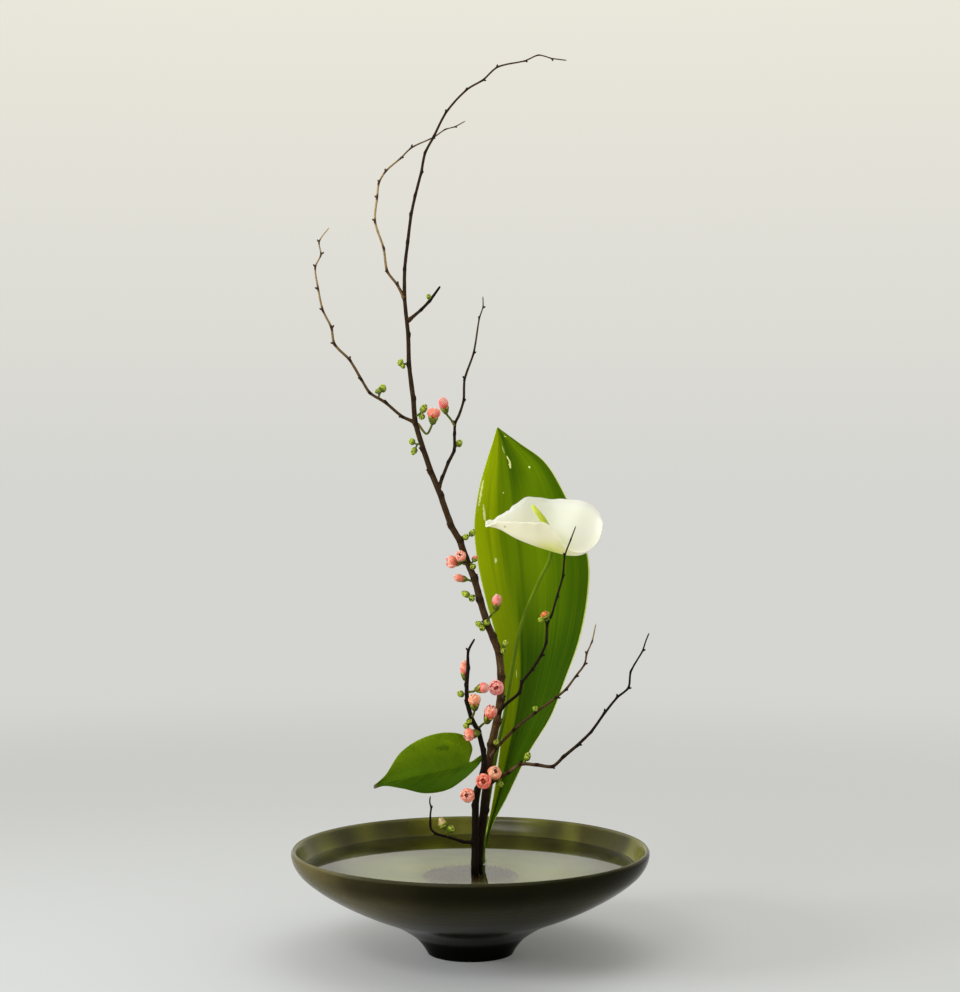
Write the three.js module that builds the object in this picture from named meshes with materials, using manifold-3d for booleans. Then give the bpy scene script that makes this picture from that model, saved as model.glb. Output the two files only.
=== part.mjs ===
// Ikebana arrangement: a footed stoneware bowl of water with a pin holder, in which stand a
// flowering quince branch, a second quince stem, a long strap leaf, a round leaf and a white
// anthurium. Units are millimetres, +Z is up, the view from the front looks along +Y, and the
// origin is on the surface that the bowl stands on, under the bowl's axis.

import * as THREE from 'three';
import { mergeVertices } from 'three/addons/utils/BufferGeometryUtils.js';
import Module from 'manifold-3d';

const wasm = await Module();
wasm.setup();

// ---------------------------------------------------------------- driving dimensions

const GAP = 0.3; // clearance between pieces that touch on the real thing
const CUT = 0.4; // how much a piece is grown before it is cut from its neighbour

const RIM_RADIUS = 150;
const RIM_HEIGHT = 88;
const FOOT_RADIUS = 36;
const FOOT_RING = 7; // width of the flat ring that the bowl stands on
const FOOT_RECESS = 8; // depth of the hollow inside that ring
const LIP = 2; // radius by which the lip is rounded
const FLOOR_HEIGHT = 24; // inside floor of the bowl, on which the pin holder stands
const FLOOR_RADIUS = 44;
const BOWL_SEGMENTS = 40;

const WATER_LEVEL = 73;

const HOLDER_RADIUS = 40;
const HOLDER_BASE = 8;
const PIN_LENGTH = 12;
const PIN_RADIUS = 1.1;
const PIN_TIP_RADIUS = 0.4;
const PIN_SIDES = 3;
const PIN_SINK = 1; // how deep a pin is sunk into the base
const HOLDER_SIDES = 36;
const HOLDER_CHAMFER = 1;
const PIN_PITCH = 9.4;
const HOLDER_BOTTOM = FLOOR_HEIGHT + GAP;
const HOLDER_TOP = HOLDER_BOTTOM + HOLDER_BASE;
const PIN_TOP = HOLDER_TOP + PIN_LENGTH;
const STEM_FOOT = HOLDER_TOP + CUT; // height of every cut stem end

const LEAF_THICKNESS = 0.9;
const SPATHE_THICKNESS = 1.1;
const PETAL_THICKNESS = 0.7;

// ---------------------------------------------------------------- materials

const finish = (color, roughness, metalness = 0) =>
  new THREE.MeshStandardMaterial({ color, roughness, metalness });

const MATERIALS = {
  glaze: () => finish(0x35321f, 0.28),
  water: () => finish(0xa7a98f, 0.05),
  brass: () => finish(0x8a7a58, 0.4, 0.9),
  bark: () => finish(0x4a3524, 0.85),
  petal: () => finish(0xee9686, 0.6),
  bud: () => finish(0x86a236, 0.6),
  leaf: () => finish(0x4b7a0c, 0.45),
  roundLeaf: () => finish(0x4f7a10, 0.4),
  stalk: () => finish(0x7f9a30, 0.5),
  spathe: () => finish(0xece8d2, 0.4),
  spadix: () => finish(0xb2c21c, 0.6),
};

// ---------------------------------------------------------------- solids

const SNAP = 1e4; // vertices are rounded to 1/SNAP so that seams close exactly
const KNOT_RINGS = 3; // every so many rings of a limb, one swells

const vector = ([x, y, z]) => new THREE.Vector3(x, y, z);

/** A closed three.js geometry as a solid that can be joined and cut. */
function solidOf(geometry) {
  const bare = geometry.clone();
  bare.deleteAttribute('normal');
  bare.deleteAttribute('uv');
  const position = bare.getAttribute('position');
  for (let i = 0; i < position.array.length; i += 1) {
    position.array[i] = Math.round(position.array[i] * SNAP) / SNAP;
  }
  const merged = mergeVertices(bare, 1 / SNAP);
  return new wasm.Manifold(new wasm.Mesh({
    numProp: 3,
    vertProperties: new Float32Array(merged.getAttribute('position').array),
    triVerts: new Uint32Array(merged.index.array),
  }));
}

function geometryOf(solid) {
  const mesh = solid.getMesh();
  const geometry = new THREE.BufferGeometry();
  geometry.setAttribute('position', new THREE.Float32BufferAttribute(mesh.vertProperties, 3));
  geometry.setIndex(Array.from(mesh.triVerts));
  geometry.computeVertexNormals();
  return geometry;
}

const join = (solids) => solids.reduce((whole, next) => whole.add(next));

/** Cuts tools from a solid and keeps the largest body, dropping loose scraps. */
function carve(solid, tools) {
  const cut = tools.reduce((left, tool) => left.subtract(tool), solid);
  const bodies = cut.decompose();
  return bodies.reduce((best, body) => (body.volume() > best.volume() ? body : best));
}

/** Linear reading of an evenly spaced profile at a share 0..1 of its length. */
function readProfile(profile, share) {
  const place = share * (profile.length - 1);
  const index = Math.min(Math.floor(place), profile.length - 2);
  return THREE.MathUtils.lerp(profile[index], profile[index + 1], place - index);
}

/**
 * A round limb with closed ends: a cylinder bent along a smooth route. The radius follows
 * `profile`, knots swell by the share `knot`, and `grow` makes it thicker all over.
 */
function limb({ route, profile, sides = 5, steps = 8, knot = 0, grow = 0 }) {
  const curve = smoothLine(route);
  const frames = curve.computeFrenetFrames(steps, false);
  const geometry = new THREE.CylinderGeometry(1, 1, 1, sides, steps);
  const position = geometry.getAttribute('position');
  for (let i = 0; i < position.count; i += 1) {
    const share = position.getY(i) + 0.5;
    const ring = Math.round(share * steps);
    const swell = (ring + 1) % KNOT_RINGS === 0 && ring < steps ? 1 + knot : 1;
    const radius = readProfile(profile, share) * swell + grow;
    const point = curve.getPointAt(share)
      .addScaledVector(frames.normals[ring], position.getZ(i) * radius)
      .addScaledVector(frames.binormals[ring], position.getX(i) * radius);
    position.setXYZ(i, point.x, point.y, point.z);
  }
  return solidOf(geometry);
}

/**
 * A blade of even thickness on surface(across, along), with both in 0..1. The two faces are
 * one plane grid and its reversed copy, so they are split into triangles alike.
 */
function blade(surface, columns, rows, thickness) {
  const grid = new THREE.PlaneGeometry(1, 1, columns, rows);
  const flat = grid.getAttribute('position');
  const count = flat.count;
  const points = new Float32Array(count * 6);
  const step = 1e-3;
  for (let i = 0; i < count; i += 1) {
    const across = flat.getX(i) + 0.5;
    const along = flat.getY(i) + 0.5;
    const here = surface(across, along);
    const sideways = surface(Math.min(across + step, 1), along)
      .sub(surface(Math.max(across - step, 0), along));
    const forward = surface(across, Math.min(along + step, 1))
      .sub(surface(across, Math.max(along - step, 0)));
    const normal = sideways.cross(forward).normalize().multiplyScalar(thickness / 2);
    here.clone().add(normal).toArray(points, i * 3);
    here.sub(normal).toArray(points, (count + i) * 3);
  }
  const front = Array.from(grid.index.array);
  const faces = [...front];
  for (let i = 0; i < front.length; i += 3) {
    faces.push(front[i] + count, front[i + 2] + count, front[i + 1] + count);
  }
  const wall = (a, b) => faces.push(a, a + count, b + count, a, b + count, b);
  const row = columns + 1;
  for (let i = 0; i < columns; i += 1) {
    wall(i + 1, i);
    wall(rows * row + i, rows * row + i + 1);
  }
  for (let i = 0; i < rows; i += 1) {
    wall(i * row, (i + 1) * row);
    wall((i + 1) * row + columns, i * row + columns);
  }
  const geometry = new THREE.BufferGeometry();
  geometry.setAttribute('position', new THREE.BufferAttribute(points, 3));
  geometry.setIndex(faces);
  return solidOf(geometry);
}

const smoothLine = (points) => new THREE.CatmullRomCurve3(points.map(vector));

/** Each half of a leaf is arched by this share of its width. */
const LEAF_ARCH = 0.48;

/** A leaf surface through its one edge, its midrib and its other edge, with a waved margin. */
function leafSurface({ edge, midrib, otherEdge, wave, waves }) {
  const curves = [edge, midrib, otherEdge].map(smoothLine);
  return (across, along) => {
    const [a, m, b] = curves.map((curve) => curve.getPoint(along));
    const side = across * 2 - 1;
    const outer = side < 0 ? a : b;
    const reach = Math.abs(side);
    const point = m.clone().lerp(outer, reach);
    const arch = outer.distanceTo(m) * LEAF_ARCH * reach * (1 - reach) * (1 - reach);
    point.y += arch + wave * reach ** 2 * Math.sin(along * waves * Math.PI * 2 + side);
    return point;
  };
}

// ---------------------------------------------------------------- bowl, pin holder, water

/** Inside of the bowl from the floor's edge up to the lip, as radius and height. */
const BOWL_INSIDE = [
  [FLOOR_RADIUS, FLOOR_HEIGHT], [62, 30], [85, 40], [108, 51.5], [129, 64.5], [140, 74],
  [145, 84],
];

/** Outside of the bowl from the foot up to the lip: a flared foot under a wide shallow cup. */
const BOWL_OUTSIDE = [
  [FOOT_RADIUS, 0], [38, 3.5], [41.5, 8.5], [46, 13.5], [54, 19.5], [68, 27.5], [90, 36.8],
  [113, 48.2], [132.5, 60.5], [143.5, 70], [148.5, 78], [RIM_RADIUS, 84.5],
];

const turned = (profile) => new THREE.LatheGeometry(
  profile.map(([r, z]) => new THREE.Vector2(r, z)),
  BOWL_SEGMENTS,
).rotateX(Math.PI / 2);

function bowl() {
  const profile = [
    [0, FOOT_RECESS], [FOOT_RADIUS - 2 * FOOT_RING, FOOT_RECESS], [FOOT_RADIUS - FOOT_RING, 0],
    ...BOWL_OUTSIDE,
    [RIM_RADIUS - LIP, RIM_HEIGHT],
    ...BOWL_INSIDE.toReversed(),
    [0, FLOOR_HEIGHT],
  ];
  return turned(profile);
}

/** A turned disc or cone on the Z axis, from one height to another. */
function post(bottomRadius, topRadius, from, to, sides) {
  return new THREE.CylinderGeometry(topRadius, bottomRadius, to - from, sides)
    .rotateX(Math.PI / 2)
    .translate(0, 0, (from + to) / 2);
}

/** The pins stand in a triangular grid and are sunk into the holder's base. */
function pins(grow = 0) {
  const rowHeight = (PIN_PITCH * Math.sqrt(3)) / 2;
  const reach = HOLDER_RADIUS - 3;
  const rows = Math.floor(reach / rowHeight);
  const all = [];
  for (let row = -rows; row <= rows; row += 1) {
    const shift = row % 2 === 0 ? 0 : PIN_PITCH / 2;
    for (let x = -reach; x <= reach; x += PIN_PITCH) {
      if (Math.hypot(x + shift, row * rowHeight) > reach) continue;
      const pin = post(
        PIN_RADIUS + grow,
        PIN_TIP_RADIUS + grow,
        HOLDER_TOP - PIN_SINK,
        PIN_TOP + grow,
        PIN_SIDES,
      );
      all.push(solidOf(pin.translate(x + shift, row * rowHeight, 0)));
    }
  }
  return join(all);
}

function holder() {
  const top = HOLDER_RADIUS - HOLDER_CHAMFER;
  return solidOf(post(HOLDER_RADIUS, top, HOLDER_BOTTOM, HOLDER_TOP, HOLDER_SIDES)).add(pins());
}

/** Water up to its level, clear of the bowl, with a plain recess over the pin holder. */
function water(stems) {
  const side = BOWL_INSIDE.filter(([, z]) => z < WATER_LEVEL);
  const [low, high] = [BOWL_INSIDE[side.length - 1], BOWL_INSIDE[side.length]];
  const share = (WATER_LEVEL - low[1]) / (high[1] - low[1]);
  const edge = low[0] + (high[0] - low[0]) * share;
  const profile = [
    [0, FLOOR_HEIGHT + GAP],
    ...side.map(([r, z]) => [r - GAP, z + GAP]),
    [edge - GAP, WATER_LEVEL],
    [0, WATER_LEVEL],
  ];
  const recess = post(HOLDER_RADIUS + CUT, HOLDER_RADIUS + CUT, 0, PIN_TOP + CUT, HOLDER_SIDES);
  return carve(solidOf(turned(profile)), [solidOf(recess), ...stems]);
}

// ---------------------------------------------------------------- quince wood

const GOLDEN_ANGLE = 2.39996;
const THORN_LENGTH = 2.4;
const THORN_SPACING = 7; // in rings of the limb
const THORN_LEAN = 0.7; // how far a thorn leans towards the limb's tip
const KNOT = 0.22; // how much a knot is thicker than the wood beside it

/** Small thorn-like buds along a limb, turned by the golden angle from one to the next. */
function thorns({ route, profile, steps, grow = 0 }) {
  const curve = smoothLine(route);
  const frames = curve.computeFrenetFrames(steps, false);
  const all = [];
  for (let ring = 5; ring < steps; ring += THORN_SPACING) {
    const share = ring / steps;
    const angle = ring * GOLDEN_ANGLE;
    const base = curve.getPointAt(share);
    if (base.z < WATER_LEVEL + 10) continue;
    const out = frames.normals[ring].clone().multiplyScalar(Math.cos(angle))
      .addScaledVector(frames.binormals[ring], Math.sin(angle))
      .addScaledVector(frames.tangents[ring], THORN_LEAN).normalize();
    const reach = readProfile(profile, share) + THORN_LENGTH + grow;
    const tip = base.clone().addScaledVector(out, reach);
    const middle = base.clone().lerp(tip, 0.6);
    all.push(limb({
      route: [base.toArray(), middle.toArray(), tip.toArray()],
      profile: [0.8, 1, 0.35],
      sides: 3,
      steps: 2,
      grow,
    }));
  }
  return all;
}

/** Routes run from the root to the tip; profiles are radii at even shares of the length. */
const MAIN_BRANCH = {
  trunk: {
    route: [
      [6.5, 0, STEM_FOOT], [6.5, 0, 60], [8, 0, 94], [11.5, 1, 119], [14.5, 2, 148], [18, 2, 173],
      [22, 1, 193], [25, 0, 212], [25.5, -1, 231], [23.5, -3, 251], [18.5, -4, 265],
      [14, -5, 276], [8, -7, 296], [3, -8, 314], [-4, -9, 331], [-9, -9, 345], [-16, -9, 358],
      [-25, -8, 383], [-33, -7, 403], [-39.5, -6, 422], [-46, -5, 444], [-48, -3, 464],
      [-51.5, 0, 493], [-52.5, 3, 518], [-55.5, 6, 549], [-55.5, 8, 574], [-53, 8, 597],
      [-50, 7, 620], [-46.5, 6, 636], [-41.5, 4, 655], [-38, 2, 671], [-31, 0, 684],
      [-20, -5, 704], [-3, -12, 721], [10.5, -18, 728], [22.5, -24, 737], [45, -32, 740.5],
      [56, -36, 744.5], [67, -40, 740.5], [78.5, -44, 738],
    ],
    profile: [3.7, 3.6, 3.5, 3.3, 3.1, 2.9, 2.7, 2.4, 2.1, 1.8, 1.5, 1.3, 1.1, 0.9, 0.7, 0.45],
    sides: 6,
    steps: 62,
  },
  upperLeftTwig: {
    route: [
      [-55.5, 6, 549], [-62, 9, 561], [-70.5, 14, 573], [-74, 20, 593], [-81.5, 26, 617],
      [-80, 30, 638], [-78.5, 32, 651], [-73, 34, 661], [-60, 36, 673], [-51, 38, 682],
      [-32, 42, 692], [-22, 44, 699], [-13.5, 46, 702], [-5, 48, 707],
    ],
    profile: [1.4, 1.2, 1.1, 1, 0.9, 0.7, 0.5],
    steps: 18,
  },
  leftTwig: {
    route: [
      [-46, -5, 444], [-57, -11, 449], [-70.5, -18, 460], [-83, -25, 468], [-90, -30, 479],
      [-99, -35, 494], [-111, -40, 507], [-113.5, -43, 520], [-120, -47, 534],
      [-123.5, -50, 551], [-125.5, -53, 568], [-121, -55, 578], [-122, -57, 588],
      [-114, -60, 599],
    ],
    profile: [1.5, 1.4, 1.3, 1.2, 1, 0.8, 0.5],
    steps: 18,
  },
  shortTwig: {
    route: [[-52.5, 3, 530], [-42, 12, 540], [-35, 17, 548], [-26, 23, 561]],
    profile: [1.5, 1.3, 1.1, 0.7],
    steps: 6,
  },
  middleTwig: {
    route: [
      [-27, -8, 388], [-23.5, -2, 398], [-18.5, 5, 411], [-14, 9, 421], [-13.5, 13, 435],
      [-13, 15, 444], [-9.5, 17, 452], [-6, 20, 464], [-5, 24, 482], [2.5, 29, 505],
      [7.5, 34, 535], [10.5, 36, 545], [10.5, 38, 554],
    ],
    profile: [1.7, 1.5, 1.3, 1.1, 0.9, 0.5],
    steps: 16,
  },
  innerRightTwig: {
    route: [
      [23, 0, 199], [29, -9, 208], [40.5, -19, 219.5], [43, -24, 228.5], [51, -31, 240],
      [58, -37, 252], [62, -42, 263], [63, -46, 278], [66, -49, 285], [70.5, -53, 301],
      [75, -57, 318], [76.5, -60, 334], [81, -63, 347], [85, -65, 358],
    ],
    profile: [1.5, 1.4, 1.2, 1.1, 0.9, 0.5],
    steps: 17,
  },
  outerRightTwig: {
    route: [
      [17, 1, 163], [22, -5, 171.5], [36.5, -14, 188], [54, -20, 203], [71, -24, 216],
      [79, -26, 223], [87, -28, 234], [94, -30, 244], [96, -31, 253], [100, -33, 263],
      [103, -36, 277.5],
    ],
    profile: [1.6, 1.5, 1.3, 1.1, 0.9, 0.5],
    steps: 14,
  },
  lowRightTwig: {
    route: [
      [12.5, 2, 136], [19, -7, 144], [32, -18, 153.5], [42, -26, 161], [55, -34, 161.5],
      [67.5, -40, 161.5], [76.5, -44, 170], [87.5, -48, 180], [98, -52, 191], [109, -56, 207],
      [119, -60, 220], [127.5, -62, 228], [129.5, -64, 241], [138.5, -67, 258],
      [141, -69, 266], [143.5, -70, 272.5],
    ],
    profile: [2, 1.8, 1.6, 1.5, 1.3, 1.1, 0.9, 0.6],
    steps: 21,
  },
};

const SECOND_STEM = {
  trunk: {
    route: [
      [3.5, -9, STEM_FOOT], [3.5, -9, 62], [4, -10, 93], [4.5, -12, 125], [6.5, -13, 138],
      [9.5, -14, 150], [11.5, -15, 160], [10.5, -16, 171], [6.5, -18, 187], [1.5, -19, 197],
      [-2.5, -20, 212], [-3, -20, 226], [-2, -20, 240], [-1.5, -20, 254], [3.5, -19, 264],
    ],
    profile: [3.4, 3.3, 3.1, 2.8, 2.4, 2.1, 1.9, 1.6, 0.8],
    sides: 6,
    steps: 28,
  },
  lowTwig: {
    route: [
      [4, -10, 93], [-6, -14, 95], [-17, -18, 99], [-28, -22, 103], [-32.5, -23, 107],
      [-33, -24, 112], [-33, -25, 119], [-32.5, -25, 125], [-33.5, -26, 130], [-33, -26, 134.5],
    ],
    profile: [1.6, 1.4, 1.2, 1.1, 0.9, 0.6],
    steps: 12,
  },
};

const wood = (limbs, grow = 0) => join(Object.values(limbs).flatMap(
  (spec) => [limb({ ...spec, knot: KNOT, grow }), ...thorns({ ...spec, grow })],
));

// ---------------------------------------------------------------- quince blossoms

/** Each form gives the petals' count, half-width, cup outline and core, in shares of the size. */
const FORMS = {
  open: { petals: 5, halfAngle: 0.7, skew: 0.14, core: 0.5,
    cup: [[0.42, 0.15], [0.85, 0.5], [1, 1]] },
  cup: { petals: 5, halfAngle: 0.7, skew: 0.14, core: 0.5,
    cup: [[0.42, 0.1], [0.98, 0.5], [0.8, 1]] },
  bud: { petals: 3, halfAngle: 1.12, skew: 0.2, core: 0.72,
    cup: [[0.5, 0.1], [0.98, 0.45], [0.42, 1]] },
};

const BLOSSOMS = [
  { centre: [-30.5, -12, 451], axis: [0.15, 0, 1], width: 11, length: 10, form: 'cup',
    root: [-44, -5, 443], bend: [-36.5, -8, 434.5] },
  { centre: [-23, 12, 460.5], axis: [-0.3, -0.1, 1], width: 8.6, length: 11.5, form: 'bud',
    root: [-13.5, 14, 442], bend: [-16.5, 14, 447] },
  { centre: [-15, -8, 327.5], axis: [-1, -0.3, 0], width: 11, length: 10, form: 'cup',
    root: [-1, -9, 325], bend: [-6, -9, 326] },
  { centre: [-8, -19, 332.5], axis: [-0.2, -1, 0.5], width: 9.4, length: 8, form: 'cup',
    root: [-2, -9, 328], bend: [-4.5, -12, 329] },
  { centre: [-9.5, -12, 314], axis: [-1, -0.4, 0.2], width: 7, length: 10, form: 'bud',
    root: [2.5, -8, 311] },
  { centre: [22, -10, 295.5], axis: [0.1, -0.1, 1], width: 8.6, length: 11, form: 'bud',
    root: [13.5, -5, 277], bend: [18, -8, 284] },
  { centre: [-4.5, -11, 239], axis: [0, 0.1, 1], width: 8.4, length: 14, form: 'bud',
    root: [-2.5, -19, 224], bend: [-4, -14, 229] },
  { centre: [11, -24.5, 224], axis: [1, -0.2, 0.3], width: 9.4, length: 8.5, form: 'bud',
    root: [-2, -20, 220], bend: [3, -23, 221] },
  { centre: [21.5, -14, 223], axis: [0, -1, 0.1], width: 13.2, length: 8.5, form: 'open',
    root: [25, -1, 222], bend: [22.5, -5.5, 222] },
  { centre: [3.5, -28, 214], axis: [0, -0.2, 1], width: 10.6, length: 10, form: 'cup',
    root: [1, -19, 198], bend: [3, -24, 203] },
  { centre: [16.5, -25.5, 203.5], axis: [0.4, -0.3, 1], width: 10.8, length: 12, form: 'cup',
    root: [6, -18, 189], bend: [11, -21, 194] },
  { centre: [-0.5, -26, 185.5], axis: [-0.9, -0.4, -0.1], width: 10.6, length: 9.5, form: 'cup',
    root: [7, -18, 186], bend: [8.5, -21, 186] },
  { centre: [20, -18.5, 152.5], axis: [0.3, -0.8, 0.6], width: 12.2, length: 9, form: 'cup',
    root: [15, 1, 144], bend: [17, -9.5, 147.5] },
  { centre: [11, -28.5, 147.5], axis: [-0.1, -1, 0.05], width: 13.2, length: 8.5, form: 'open',
    root: [8.5, -13, 146], bend: [10, -18.5, 147] },
  { centre: [-2, -26, 135.5], axis: [-0.3, -1, 0], width: 12.2, length: 8.5, form: 'open',
    root: [5.5, -12, 136], bend: [2, -17, 137] },
];

/** A petal's width at its base, middle and tip, and how far its tip is rounded off. */
const PETAL_SPREAD = [0.72, 1, 0.6];
const PETAL_TIP = 0.08;

/** A calyx's mouth, as a share of the blossom's width, and the depth of its cup. */
const CALYX_MOUTH = 0.3;
const CALYX_DEPTH = 2.5;

/** Turns a geometry's +Z towards an axis and moves it to a place. */
function aim(geometry, axis, place) {
  const turn = new THREE.Quaternion().setFromUnitVectors(
    new THREE.Vector3(0, 0, 1),
    vector(axis).normalize(),
  );
  return geometry.applyQuaternion(turn).translate(...place);
}

/** A point of a blossom's axis, at a distance from its centre. */
const onAxis = ({ centre, axis }, distance) =>
  vector(centre).addScaledVector(vector(axis).normalize(), distance).toArray();

/** Overlapping cupped petals round a small core, fused at the base. */
function blossom(spec) {
  const { petals, halfAngle, skew, core, cup } = FORMS[spec.form];
  const radius = spec.width / 2 - PETAL_THICKNESS / 2;
  const outline = new THREE.SplineCurve(
    cup.map(([r, h]) => new THREE.Vector2(r * radius, (h - 0.5) * spec.length)),
  );
  const parts = [];
  for (let i = 0; i < petals; i += 1) {
    const middle = (i / petals) * Math.PI * 2;
    const surface = (across, along) => {
      const side = across * 2 - 1;
      const { x: r, y: h } = outline.getPoint(along);
      const angle = middle + side * halfAngle * readProfile(PETAL_SPREAD, along);
      const reach = r * (1 + side * skew);
      const drop = along ** 4 * side ** 2 * spec.length * PETAL_TIP;
      return new THREE.Vector3(Math.cos(angle) * reach, Math.sin(angle) * reach, h - drop);
    };
    parts.push(blade(surface, 2, 2, PETAL_THICKNESS));
  }
  const heart = new THREE.SphereGeometry(1, 5, 4).rotateX(Math.PI / 2)
    .scale(radius * core, radius * core, spec.length * core / 2)
    .translate(0, 0, spec.length * (core - 1) / 2);
  const whole = geometryOf(join([...parts, solidOf(heart)]));
  return solidOf(aim(whole, spec.axis, spec.centre));
}

/** The green cup and stalk that carry a blossom, from the wood to just under the petals. */
function calyx(spec) {
  const end = -spec.length / 2 - GAP;
  const mouth = spec.width * CALYX_MOUTH;
  const bends = spec.bend ? [spec.bend] : [];
  return limb({
    route: [spec.root, ...bends, onAxis(spec, end - CALYX_DEPTH), onAxis(spec, end)],
    profile: [0.9, 0.9, 1.5, mouth * 0.9, mouth],
    sides: 5,
    steps: 4,
  });
}

// ---------------------------------------------------------------- green leaf buds

/**
 * Each cluster stands on the wood: its root is on the wood's centre line, and `reach` is how
 * far out several buds part. A tip is a bud's end and its greatest radius.
 */
const BUD_CLUSTERS = [
  { root: [-46, -5, 449], reach: 3.6, tips: [[-37, -10, 459, 2.2], [-38.5, -10, 448.5, 2]] },
  { root: [-41, -6, 427], reach: 3.8, tips: [[-51.5, -6, 430, 2], [-49, -8, 417, 1.8]] },
  { root: [-13.5, 11, 423], tips: [[-8, 13, 430, 2.2]] },
  { root: [-9.5, -9, 343], reach: 4, tips: [[-2.5, -12, 350.5, 1.9], [4, -10, 354.5, 1.8]] },
  { root: [-2.5, -9, 325], reach: 4.2, tips: [[5, -12, 333, 1.7], [3.5, -14.5, 322.5, 1.9]] },
  { root: [7, -8, 299], reach: 4.3, tips: [[-7.5, -10, 302.5, 2], [-0.5, -13, 296.5, 2.2]] },
  { root: [14.5, -5, 274], reach: 4.3,
    tips: [[4, -10, 277, 1.8], [8.5, -13, 271.5, 2], [14.5, -13, 279, 1.8]] },
  { root: [22.5, -3, 252], reach: 4.3, tips: [[30.5, -7, 262, 1.7], [29, -9, 253, 1.6]] },
  { root: [-3, -20, 218.5], tips: [[-11, -21, 219.5, 2.1]] },
  { root: [3, -19, 193], reach: 3.3, tips: [[-6, -22, 192, 1.9], [-2, -23.5, 197.5, 1.7]] },
  { root: [21, -8.5, 145], tips: [[27.5, -11.5, 141.5, 2]] },
  { root: [24, -7, 174], tips: [[20.5, -10, 179, 1.9]] },
  { root: [54, -20, 203], tips: [[53.5, -23, 208.5, 1.5]] },
  { root: [43.5, -27, 161], tips: [[48.5, -31, 171.5, 2]] },
  { root: [-76, -21, 464], reach: 2.4, tips: [[-71.5, -20, 475, 2.2], [-77, -23, 471, 1.6]] },
  { root: [-51.5, 0, 493], reach: 3.2, tips: [[-61, -1, 496, 2.1], [-58.5, -2, 491.5, 1.7]] },
  { root: [-34.5, 17, 548], tips: [[-36, 16, 555, 1.6]] },
  { root: [-18.5, -18.5, 99.5], reach: 2.6, tips: [[-25, -21, 116, 2.6], [-15, -21, 109.5, 2.3]] },
  { root: [65, -48, 282], reach: 2.4, tips: [[59.5, -51, 288.5, 3], [55, -50, 282, 1.4]] },
];

const BUD_SAG = 0.08; // how far a bud's stalk sags, as a share of its length

/** A bud on a short stalk: slim at its root, full in its upper half, closed to a point. */
function leafBud(root, [x, y, z, radius]) {
  const tip = [x, y, z];
  const way = vector(tip).sub(vector(root));
  const middle = vector(root).addScaledVector(way, 0.5);
  middle.z -= way.length() * BUD_SAG;
  return limb({
    route: [root, middle.toArray(), tip],
    profile: [0.8, radius * 0.8, radius, 0.3],
    sides: 4,
    steps: 3,
  });
}

/** One bud straight from the wood, or several that part at the end of a short peg. */
function budCluster({ root, reach, tips }) {
  if (tips.length === 1) return leafBud(root, tips[0]);
  const middle = tips.reduce((sum, tip) => sum.add(vector(tip)), new THREE.Vector3())
    .divideScalar(tips.length);
  const parting = vector(root).lerp(middle, reach / middle.distanceTo(vector(root)));
  const peg = limb({
    route: [root, parting.clone().lerp(middle, 0.1).toArray()],
    profile: [1, 1.1],
    sides: 4,
    steps: 1,
  });
  return join([peg, ...tips.map((tip) => leafBud(parting.toArray(), tip))]);
}

// ---------------------------------------------------------------- leaves

const STRAP_LEAF = {
  edge: [
    [10, 14, 82], [15, 16, 105], [19, 19, 125], [24.5, 24, 163], [28, 29, 195], [28, 32, 225],
    [22.5, 35, 258], [12.5, 36, 295], [5.5, 36, 328], [3, 36, 357], [7, 35, 388],
    [13.5, 35, 412], [19, 35, 429], [22.4, 35, 440.6],
  ],
  midrib: [
    [10.8, 16, 82], [17, 19, 105], [23, 23, 125], [33, 30, 163], [41, 36, 195], [46, 41, 225],
    [47, 45, 258], [45.5, 48, 295], [43, 49, 328], [39.5, 48, 357], [36, 45, 388],
    [32, 41, 412], [28, 38, 429], [23.2, 35.6, 441.4],
  ],
  otherEdge: [
    [12, 14.5, 82], [19.5, 16, 105], [30, 18, 125], [49, 22, 163], [69, 26, 195], [81, 30, 225],
    [93, 33, 258], [100.5, 35, 295], [101.5, 37, 328], [92.5, 39, 357], [79, 39, 388],
    [63.5, 38, 412], [42, 37, 428], [24.2, 36, 440.6],
  ],
  wave: 1.5,
  waves: 3,
};

const STRAP_STALK = {
  route: [[12, 15, STEM_FOOT], [11.5, 15, 58], [11, 15, 82], [13.5, 16.3, 97], [15.5, 17.3, 105]],
  profile: [2, 1.9, 1.7, 1.4, 0.8],
  sides: 6,
  steps: 9,
};

const ROUND_LEAF = {
  edge: [
    [5.5, -7.6, 165.6], [-1, -9.2, 165.4], [1.6, -8.4, 173], [-5, -9, 182.5], [-21, -11, 185.5],
    [-40, -14, 181], [-58, -18, 169.5], [-70.5, -23, 151.5], [-79.2, -26.4, 143.9],
  ],
  midrib: [
    [5.5, -8, 164.5], [-1, -10, 163.5], [-12, -13, 160], [-27, -17, 156], [-43, -20, 152],
    [-58.5, -23, 147.5], [-71, -25, 145.6], [-80, -27, 142.3],
  ],
  otherEdge: [
    [10, -8, 164.5], [7, -11, 159.5], [-4, -14, 148], [-19, -18, 138.5], [-38, -21, 136],
    [-56, -23, 140.5], [-71, -25, 143], [-79.2, -26.8, 140.9],
  ],
  wave: 1.2,
  waves: 2,
};

const ROUND_STALK = {
  route: [
    [1.5, -2.5, STEM_FOOT], [1.5, -2.5, 60], [2.5, -3.5, 93], [5, -4.5, 118], [8.5, -6, 145],
    [9.5, -7, 157], [8, -8, 164], [2, -9.2, 164],
  ],
  profile: [1.2, 1.1, 1.1, 1, 1, 0.9, 0.7],
  sides: 5,
  steps: 13,
};

const strapLeaf = () => blade(leafSurface(STRAP_LEAF), 6, 20, LEAF_THICKNESS).add(limb(STRAP_STALK));

const roundLeaf = () => blade(leafSurface(ROUND_LEAF), 6, 12, LEAF_THICKNESS).add(limb(ROUND_STALK));

// ---------------------------------------------------------------- anthurium

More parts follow.
